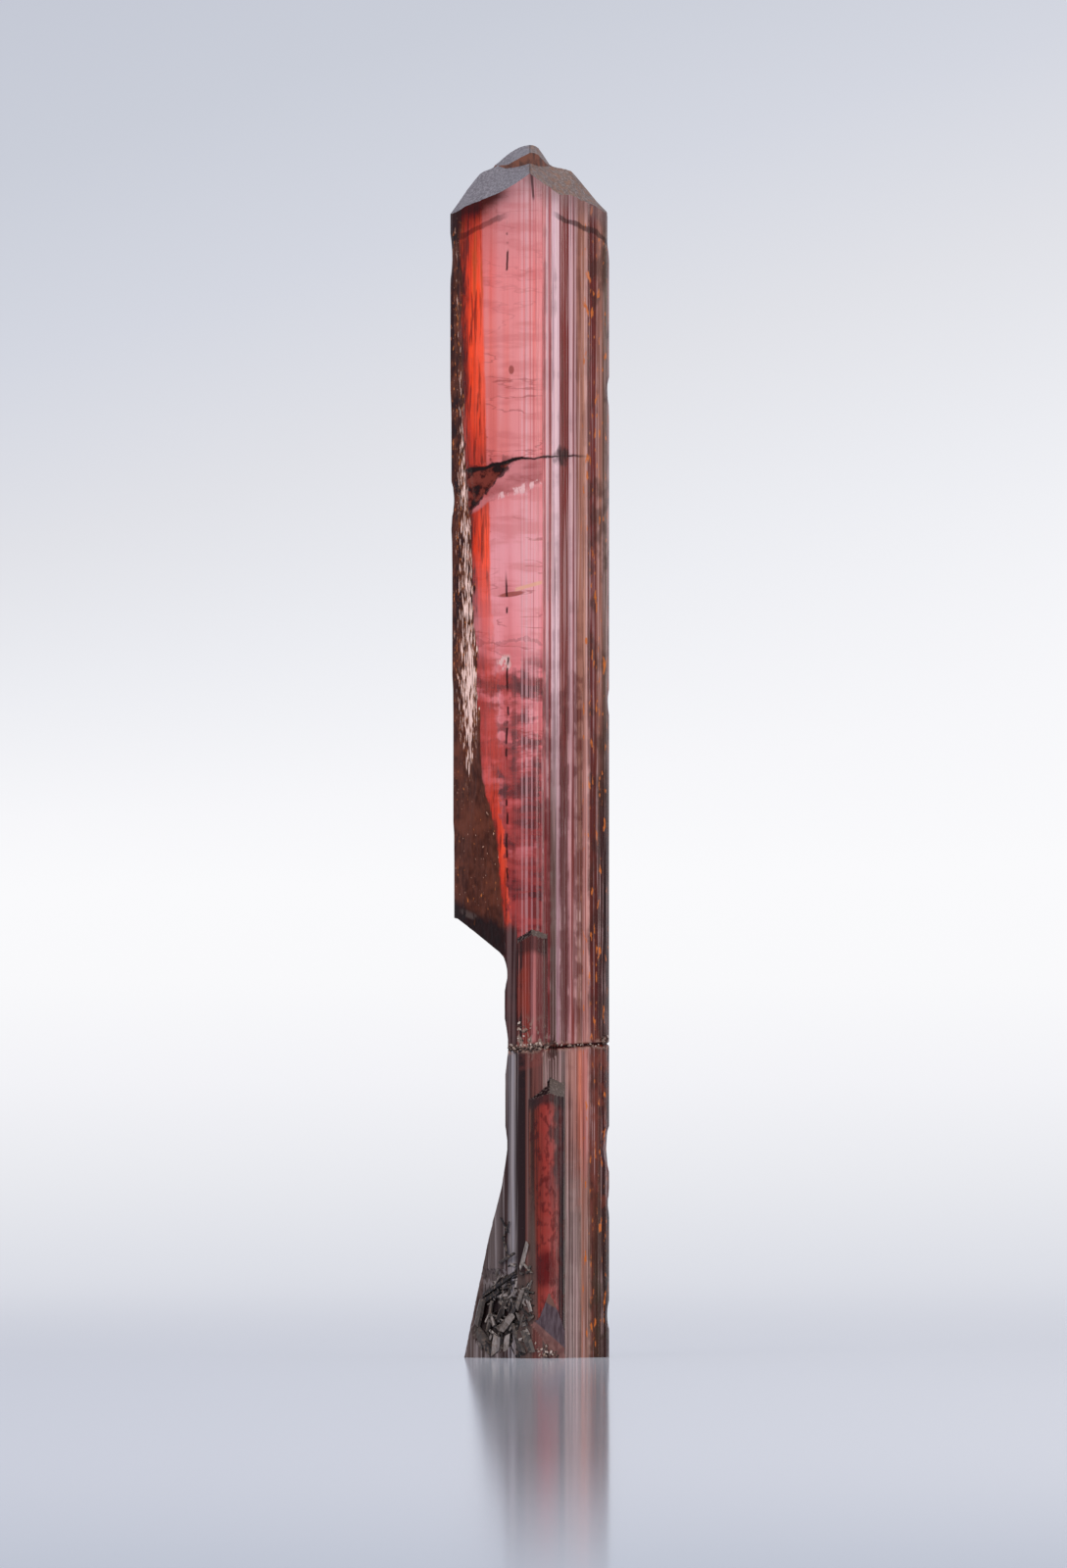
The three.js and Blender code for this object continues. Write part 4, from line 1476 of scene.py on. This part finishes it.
        # Grey tones that are partly a painted sheen of the sky, cooler on the left facet.
        colour = shader.mix(shader.rise(x, 0.0, 0.03), rgb(119, 119, 128), rgb(119, 106, 101))
        pits = grain.noise(9.0, 9.0, 3.0, 61.0)
        colour = shader.mix(shader.fall(pits, 0.46, 0.06) * 0.4, colour, rgb(82, 78, 82))
        colour = shader.mix(shader.rise(pits, 0.56, 0.06) * 0.3, colour, rgb(162, 160, 168))
        brown = shader.rise(grain.fleck, 0.54, 0.06) * shader.rise(x, -0.1, 0.1)
        colour = shader.mix(brown * 0.5, colour, rgb(136, 102, 82))
        return shader.mix(shader.line(x, 0.0, 0.025) * 0.6, colour, rgb(66, 58, 59))

    def cracks(self, grain: MineralGrain) -> Field:
        """Dark cracks: the high one that crosses the shaft, an upright dashed one, the seam and short ones.

        Args:
            grain: Noises and coordinates.

        Returns:
            A mask of how dark each place is.
        """
        shader, x, z = grain.shader, grain.x, grain.z
        wavy = z + grain.wave * 0.3
        high = shader.profile(x, list(self.high_crack))
        ragged = grain.noise(2.6, 2.6, 5.0, 32.0)
        off_crack = abs(wavy - high)
        thick = shader.fall(off_crack, 0.05 + 0.12 * grain.fleck * shader.fall(x, -0.4, 0.8), 0.05)
        smudge = shader.rise(ragged - off_crack * 0.55, 0.43, 0.08) * shader.fall(x, -0.9, 0.9) * 0.7
        across = (thick | smudge) * shader.fall(x, 2.6, 0.7) * shader.rise(x, -3.3, 0.3)
        off_blot = ((x - 1.6) * 0.8) ** 2.0 + ((z - 44.55) * 0.75) ** 2.0
        blot = shader.fall(off_blot + (grain.fleck - 0.5) * 0.35, 0.1, 0.08)
        slope = (self.recess_top[1] - self.recess_foot[1]) / (self.recess_top[0] - self.recess_foot[0])
        over = z - (self.recess_foot[1] + slope * (x - self.recess_foot[0])) + grain.wave * 0.6
        slant = shader.rise(ragged - abs(over) * 1.3, 0.42, 0.08) * shader.band(x, -3.1, -0.9, 0.2) * 0.85
        dashes = shader.rise(grain.noise(0.3, 1.4, 2.0, 33.0), 0.48, 0.04)
        upright_place = -1.13 + (grain.noise(0.2, 0.6, 3.0, 34.0) - 0.5) * 0.3
        spans = shader.band(z, 53.6, 56.6, 0.2) | shader.band(z, 22.0, 38.6, 0.5)
        upright = shader.line(x, upright_place, 0.035) * dashes * spans * shader.fall(grain.y, 0.0, 0.3) * 0.9
        cleft = shader.line(x + (z - 58.0) * 0.08, 0.12, 0.04) * shader.band(z, 57.2, 58.6, 0.2) * 0.8
        seam_place = self.seam_height + self.seam_slope * x + (grain.noise(1.4, 0.1, 3.0, 35.0) - 0.5) * 0.25
        seam = shader.line(z, seam_place, 0.045) * 0.85
        return across | blot * 0.85 | slant | upright | cleft | seam


@dataclass(frozen=True)
class ShardFinish:
    """Broken bits whose colour runs along stops by the tone kept on each face."""

    name: str
    stops: tuple[tuple[float, Colour], ...]
    dust: Colour
    shine: float

    def material(self) -> bpy.types.Material:
        """The finish as a material.

        Returns:
            The material.
        """
        made = bpy.data.materials.new(self.name)
        made.use_nodes = True
        shader = Shader(made.node_tree)
        grain = Grain(shader)
        fine = grain.noise(12.0, 5.0, 3.0, 4.0)
        colour = shader.ramp(shader.attribute("tone") + (fine - 0.5) * 0.5, list(self.stops))
        colour = shader.mix(shader.rise(grain.noise(7.0, 7.0, 3.0, 5.0), 0.6, 0.05) * 0.6, colour, self.dust)
        bump = shader.node("ShaderNodeBump", {}, {"Strength": 0.4, "Distance": 0.02 * MM, "Height": fine})
        surface = shader.node(
            "ShaderNodeBsdfPrincipled",
            {},
            {
                "Base Color": colour,
                "Roughness": 0.3 + 0.3 * fine,
                "Specular IOR Level": self.shine,
                "Normal": bump,
            },
        )
        shader.node("ShaderNodeOutputMaterial", {}, {"Surface": surface})
        return made


@dataclass
class Shards:
    """Broken bits joined in one mesh.

    A bit is rings of uneven corners carried along a straight path, with both ends cut aslant.
    """

    name: str = "shards"
    seed: int = 1
    sides: int = 6
    uneven: Point = (0.5, 1.15)
    mesh_object: bpy.types.Object | None = field(default=None, init=False)

    def paths(self, rng: np.random.Generator) -> tuple[np.ndarray, np.ndarray, np.ndarray, np.ndarray]:
        """Starts, ends, radii and tones of the bits, one row each."""
        raise NotImplementedError

    def build(self) -> bpy.types.Object:
        """Carries a ring along every path and joins the bits.

        Returns:
            The object.
        """
        rng = np.random.default_rng(self.seed)
        start, end, radius, tone = self.paths(rng)
        count, sides = len(radius), self.sides
        path = end - start
        along = path / np.linalg.norm(path, axis=-1, keepdims=True)
        side = np.cross(along, np.array((0.3, 1.0, 0.1)))
        side /= np.linalg.norm(side, axis=-1, keepdims=True)
        other = np.cross(along, side)
        turn = np.linspace(0.0, 2.0 * np.pi, sides, endpoint=False) + rng.uniform(0.0, 1.0, (count, 1))
        reach = radius[:, None] * rng.uniform(*self.uneven, (count, sides))
        ring = (reach * np.cos(turn))[..., None] * side[:, None]
        ring = ring + (reach * np.sin(turn))[..., None] * other[:, None]
        width = np.array((0.9, 1.0, 0.85))
        slant = rng.uniform(-0.9, 0.9, (count, 3, 1)) * np.array((1.0, 0.0, 1.0))[None, :, None]
        shift = slant * (reach * np.cos(turn))[:, None]
        points = (
            start[:, None, None]
            + path[:, None, None] * np.array((0.0, 0.5, 1.0))[None, :, None, None]
            + ring[:, None] * width[None, :, None, None]
            + along[:, None, None] * shift[..., None]
        )
        points[..., 2] = np.maximum(points[..., 2], 0.0)
        step = 3 * sides
        here = np.arange(sides)[None, None]
        then = (here + 1) % sides
        first = np.arange(count)[:, None, None] * step + np.arange(2)[None, :, None] * sides
        walls = np.stack([first + here, first + then, first + sides + then, first + sides + here], axis=-1)
        base = np.arange(count)[:, None] * step
        ends = [*(base + np.arange(sides)[::-1]).tolist(), *(base + 2 * sides + np.arange(sides)).tolist()]
        mesh = bpy.data.meshes.new(self.name)
        mesh.from_pydata(points.reshape(-1, 3) * MM, [], [*walls.reshape(-1, 4).tolist(), *ends])
        tones = np.concatenate([np.repeat(tone, 2 * sides), tone, tone])
        tones = np.clip(tones + rng.uniform(-0.15, 0.15, len(tones)), 0.0, 1.0)
        mesh.attributes.new("tone", "FLOAT", "FACE").data.foreach_set("value", tones.astype(np.float32))
        self.mesh_object = bpy.data.objects.new(self.name, mesh)
        bpy.context.collection.objects.link(self.mesh_object)
        return self.mesh_object

    def dress(self, finish: ShardFinish) -> None:
        """Gives the bits their finish and their place in the frame.

        Args:
            finish: What it is made of.
        """
        self.mesh_object.data.materials.append(finish.material())
        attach(self.mesh_object, "root")


@dataclass
class NeedleNest(Shards):
    """Broken needles and blocks that lie across each other in the pocket at the foot."""

    name: str = "needle_nest"
    seed: int = 21
    large: tuple[tuple[float, float, float, float, float, float], ...] = (
        (-2.72, 3.1, -0.68, 4.25, 0.2, 0.3),
        (-2.6, 2.75, -1.5, 3.35, 0.16, 0.2),
        (-0.66, 3.5, -0.12, 5.7, 0.13, 0.9),
        (-2.7, 1.3, -1.8, 0.25, 0.32, 0.5),
        (-2.35, 0.2, -2.25, 1.0, 0.22, 0.6),
        (-1.7, 0.0, -1.6, 1.1, 0.28, 0.85),
        (-1.2, 0.0, -1.1, 1.15, 0.3, 0.75),
        (-0.7, 0.2, -1.1, 1.35, 0.26, 0.2),
        (-0.4, 0.3, -0.8, 1.7, 0.24, 0.45),
        (-1.4, 1.35, -0.75, 2.2, 0.27, 0.7),
        (-1.6, 1.9, -1.15, 2.9, 0.18, 0.6),
        (-0.95, 2.05, -0.5, 2.95, 0.2, 0.4),
        (-0.6, 2.4, -0.32, 3.4, 0.16, 0.65),
        (-1.95, 2.1, -1.85, 2.85, 0.14, 0.75),
        (-1.75, 1.6, -1.92, 2.2, 0.15, 0.8),
        (-2.1, 1.35, -2.0, 1.85, 0.16, 0.7),
        (-2.75, 1.6, -2.5, 2.9, 0.18, 0.55),
        (-1.36, 6.0, -1.1, 5.1, 0.06, 0.2),
        (-1.5, 4.7, -0.75, 5.2, 0.09, 0.35),
        (-1.45, 6.95, -1.05, 6.2, 0.05, 0.12),
        (-1.02, 6.75, -1.3, 5.95, 0.05, 0.2),
        (-0.9, 4.0, 0.0, 3.0, 0.11, 0.6),
        (-0.62, 2.75, 0.08, 1.95, 0.16, 0.4),
        (-0.3, 1.35, 0.1, 0.3, 0.2, 0.45),
        (-0.2, 3.2, 0.06, 2.3, 0.1, 0.8),
    )
    small_count: int = 180
    small_length: Point = (0.15, 0.7)
    small_radius: Point = (0.03, 0.1)
    face_slope: float = 0.5
    ridge_depth: float = 2.5
    thin_forward: float = 0.42
    thin_from: Point = (4.2, 4.8)
    column_from: Point = (-0.75, -0.55)
    sunk: float = 0.16
    front_limit: float = 3.0
    large_forward: float = 0.08

    def paths(self, rng: np.random.Generator) -> tuple[np.ndarray, np.ndarray, np.ndarray, np.ndarray]:
        """Large bits listed one by one, then small ones at random between the nest's edges.

        Args:
            rng: Where the random numbers come from.

        Returns:
            Starts, ends, radii and tones, one row each.
        """
        many = self.small_count
        z = rng.uniform(0.1, 4.6, many)
        x = rng.uniform(np.maximum(-2.5 + 0.2 * z, -2.4), 0.05)
        lean = rng.uniform(-1.5, 1.5, many)
        half = rng.uniform(*self.small_length, many) / 2
        small = np.stack(
            [
                x - half * np.sin(lean),
                z - half * np.cos(lean),
                x + half * np.sin(lean),
                z + half * np.cos(lean),
                rng.uniform(*self.small_radius, many),
                rng.uniform(0.1, 1.0, many),
            ],
            axis=-1,
        )
        rows = np.concatenate([np.array(self.large), small])
        raised = rng.uniform(-0.05, 0.2, (len(rows), 2))
        raised[: len(self.large)] += self.large_forward
        radius = rows[:, 4]
        ends = []
        for column, lift in ((0, raised[:, 0]), (2, raised[:, 1])):
            up = np.maximum(rows[:, column + 1], radius * 0.8)
            edge = np.interp(up, (0.0, 6.16, 10.5), (-3.1, -1.85, -1.0)) + radius
            across = np.maximum(rows[:, column], edge)
            proud = np.interp(up, self.thin_from, (0.0, self.thin_forward))
            beside = np.interp(across, self.column_from, (0.0, self.thin_forward))
            proud = np.maximum(proud, beside)
            deep = -self.ridge_depth - self.face_slope * across + self.sunk - lift - proud
            ends.append(np.stack([across, np.maximum(deep, radius - self.front_limit), up], axis=-1))
        return ends[0], ends[1], radius, rows[:, 5]


@dataclass
class SeamCrumbs(Shards):
    """Crumbs along the seam and at the foot of the stump, gathered about listed places."""

    name: str = "seam_crumbs"
    seed: int = 33
    sides: int = 5
    heaps: tuple[tuple[float, float, float, float, float, int], ...] = (
        (-0.55, 15.32, 0.3, 0.12, 0.1, 44),
        (-0.35, 15.95, 0.22, 0.4, 0.17, 30),
        (0.2, 15.38, 0.35, 0.1, 0.16, 44),
        (0.85, 15.42, 0.12, 0.1, 0.06, 14),
        (3.7, 15.72, 0.1, 0.14, 0.05, 18),
        (2.6, 15.46, 0.7, 0.04, 0.02, 16),
        (0.7, 0.4, 0.4, 0.22, 0.12, 60),
        (1.35, 0.22, 0.2, 0.14, 0.35, 24),
    )
    front: tuple[Point, ...] = (
        (-1.2, -2.05), (-0.62, -2.42), (0.08, -2.6), (0.86, -2.4), (1.5, -1.9), (2.16, -1.38), (2.92, -0.84),
        (3.8, -0.02), (3.94, 0.4),
    )
    size: Point = (0.03, 0.08)

    def paths(self, rng: np.random.Generator) -> tuple[np.ndarray, np.ndarray, np.ndarray, np.ndarray]:
        """Short bits in every direction, spread about each heap like a bell.

        Args:
            rng: Where the random numbers come from.

        Returns:
            Starts, ends, radii and tones, one row each.
        """
        rows = np.array(self.heaps)
        heap = np.repeat(rows, rows[:, 5].astype(int), axis=0)
        many = len(heap)
        x = heap[:, 0] + heap[:, 2] * np.clip(rng.normal(size=many), -1.8, 1.8)
        x = np.clip(x, -1.1, 3.85)
        z = np.maximum(heap[:, 1] + heap[:, 3] * np.clip(rng.normal(size=many), -1.8, 1.8), 0.05)
        radius = rng.uniform(*self.size, many)
        y = np.interp(x, *np.array(self.front).T) - heap[:, 4] + rng.uniform(-0.03, 0.05, many)
        way = rng.normal(size=(many, 3))
        way *= radius[:, None] / np.linalg.norm(way, axis=-1, keepdims=True)
        middle = np.stack([x, y, z], axis=-1)
        return middle - way, middle + way, radius, rng.uniform(0.0, 1.0, many) ** 1.3


class Lamp(Enum):
    """The soft lights: place in metres, side in metres, power in watts."""

    KEY = ((-0.42, -0.6, 0.4), 0.4, 3.2)
    RIGHT = ((0.7, -0.35, 0.15), 0.35, 2.2)
    TOP = ((0.0, 0.1, 0.7), 0.5, 1.0)


@dataclass
class Studio:
    """A pale glossy floor, a pale graded background, soft lights and a camera with a long lens."""

    floor_half: float = 0.6
    floor_colour: tuple[float, float, float, float] = rgb(199, 203, 215)
    floor_roughness: float = 0.09
    floor_index: float = 1.8
    camera_distance: float = 1500.0
    middle_pixel: Point = (544.5, 800.0)
    crystal_pixel: Point = (540.75, 1385.0)
    pixel_size: float = 60.0 / 1238.0
    sensor: float = 36.0
    lamp_colour: Spot = (1.0, 0.93, 0.84)
    lamp_target: Spot = (0.0, 0.0, 0.03)

    def build(self) -> bpy.types.Object:
        """A floor whose surface is a flat grid of two parameters, across and away.

        Returns:
            The floor's object.
        """
        across, away = np.meshgrid(np.linspace(-1.0, 1.0, 9), np.linspace(-1.0, 1.0, 9))
        points = np.stack([across, away, 0.0 * across], axis=-1).reshape(-1, 3) * self.floor_half
        first = (np.arange(8)[:, None] * 9 + np.arange(8)).ravel()
        quads = np.stack([first, first + 1, first + 10, first + 9], axis=-1)
        mesh = bpy.data.meshes.new("floor")
        mesh.from_pydata(points, [], quads.tolist())
        floor = bpy.data.objects.new("floor", mesh)
        bpy.context.collection.objects.link(floor)
        mesh.materials.append(self.floor_finish())
        return floor

    def floor_finish(self) -> bpy.types.Material:
        """Pale, slightly glossy floor that thins out into the background away from the crystal.

        Returns:
            The material.
        """
        made = bpy.data.materials.new("floor_finish")
        made.use_nodes = True
        shader = Shader(made.node_tree)
        place = shader.node("ShaderNodeTexCoord", {}, {}, "Object")
        offset = shader.vector(VectorOp.SUBTRACT, place, (0.0, -0.14, 0.0))
        length = {"operation": VectorOp.LENGTH.value}
        spread = shader.node("ShaderNodeVectorMath", length, {0: offset}, "Value")
        near = shader.fall(spread, 0.2, 0.16)
        surface = shader.node(
            "ShaderNodeBsdfPrincipled",
            {},
            {
                "Base Color": self.floor_colour,
                "Roughness": self.floor_roughness,
                "IOR": self.floor_index,
                "Alpha": near,
            },
        )
        shader.node("ShaderNodeOutputMaterial", {}, {"Surface": surface})
        return made

    def light(self) -> None:
        """Lights the crystal with a graded sky and soft lamps."""
        world = bpy.data.worlds.new("studio")
        world.use_nodes = True
        bpy.context.scene.world = world
        shader = Shader(world.node_tree)
        way = shader.node("ShaderNodeTexCoord", {}, {}, "Generated")
        up = shader.node("ShaderNodeSeparateXYZ", {}, {0: way}, "Z")
        across = shader.node("ShaderNodeSeparateXYZ", {}, {0: way}, "X")
        lean = shader.node(
            "ShaderNodeMapRange", {}, {0: across, 1: -0.0176, 2: 0.0176, 3: 0.0055, 4: -0.0055}
        )
        sky = shader.ramp(
            up + lean * shader.rise(up, 0.002, 0.008),
            [
                (-0.0259, rgb(188, 194, 208)), (-0.021, rgb(197, 201, 214)), (-0.0189, rgb(203, 206, 217)),
                (-0.0162, rgb(220, 222, 230)), (-0.0129, rgb(233, 234, 239)), (-0.0097, rgb(243, 243, 247)),
                (-0.0065, rgb(249, 249, 251)), (-0.0032, rgb(250, 250, 252)), (0.0, rgb(247, 247, 250)),
                (0.0065, rgb(236, 237, 242)), (0.0129, rgb(225, 226, 232)), (0.0194, rgb(212, 215, 225)),
                (0.0259, rgb(202, 206, 217)), (0.035, rgb(194, 198, 211)),
            ],
        )
        background = shader.node("ShaderNodeBackground", {}, {"Color": sky, "Strength": 1.0})
        shader.node("ShaderNodeOutputWorld", {}, {"Surface": background})
        for lamp in Lamp:
            place, side, power = lamp.value
            data = bpy.data.lights.new(lamp.name.lower(), "AREA")
            data.size, data.energy = side, power
            data.color = self.lamp_colour
            made = bpy.data.objects.new(lamp.name.lower(), data)
            made.location = place
            way_in = Vector(self.lamp_target) - Vector(place)
            made.rotation_euler = way_in.to_track_quat("-Z", "Y").to_euler()
            bpy.context.collection.objects.link(made)

    def aim(self) -> None:
        """Sets the camera level, square to the front, so that the frame is the photograph's."""
        across = (self.middle_pixel[0] - self.crystal_pixel[0]) * self.pixel_size
        up = (self.crystal_pixel[1] - self.middle_pixel[1]) * self.pixel_size
        data = bpy.data.cameras.new("camera")
        data.sensor_width = self.sensor
        data.lens = self.sensor * self.camera_distance / (IMAGE_SIZE[1] * self.pixel_size)
        data.clip_start, data.clip_end = 0.05, 100.0
        camera = bpy.data.objects.new("camera", data)
        camera.location = (across * MM, -self.camera_distance * MM, up * MM)
        camera.rotation_euler = (math.pi / 2, 0.0, 0.0)
        bpy.context.collection.objects.link(camera)
        bpy.context.scene.camera = camera
        bpy.context.scene.view_settings.view_transform = "Standard"


def main() -> None:
    """Builds the studio and the pieces in order, and reports each one."""
    logging.basicConfig(level=logging.INFO)
    studio = Studio()
    studio.build()
    studio.light()
    studio.aim()
    body = CrystalBody()
    body.build()
    body.dress(CrystalFinish())
    LOG.info("crystal body: %d faces", len(body.mesh_object.data.polygons))
    needles = ShardFinish(
        "needle_finish",
        (
            (0.0, rgb(22, 19, 20)), (0.35, rgb(46, 41, 42)),
            (0.7, rgb(92, 83, 79)), (1.0, rgb(156, 146, 143)),
        ),
        dust=rgb(120, 102, 90), shine=0.25,
    )
    crumbs = ShardFinish(
        "crumb_finish",
        (
            (0.0, rgb(54, 40, 37)), (0.4, rgb(100, 74, 66)),
            (0.7, rgb(146, 122, 110)), (1.0, rgb(206, 190, 182)),
        ),
        dust=rgb(170, 150, 138), shine=0.3,
    )
    for heap, finish in ((NeedleNest(), needles), (SeamCrumbs(), crumbs)):
        heap.build()
        heap.dress(finish)
        LOG.info("%s: %d faces", heap.name, len(heap.mesh_object.data.polygons))


if __name__ == "__main__":
    main()
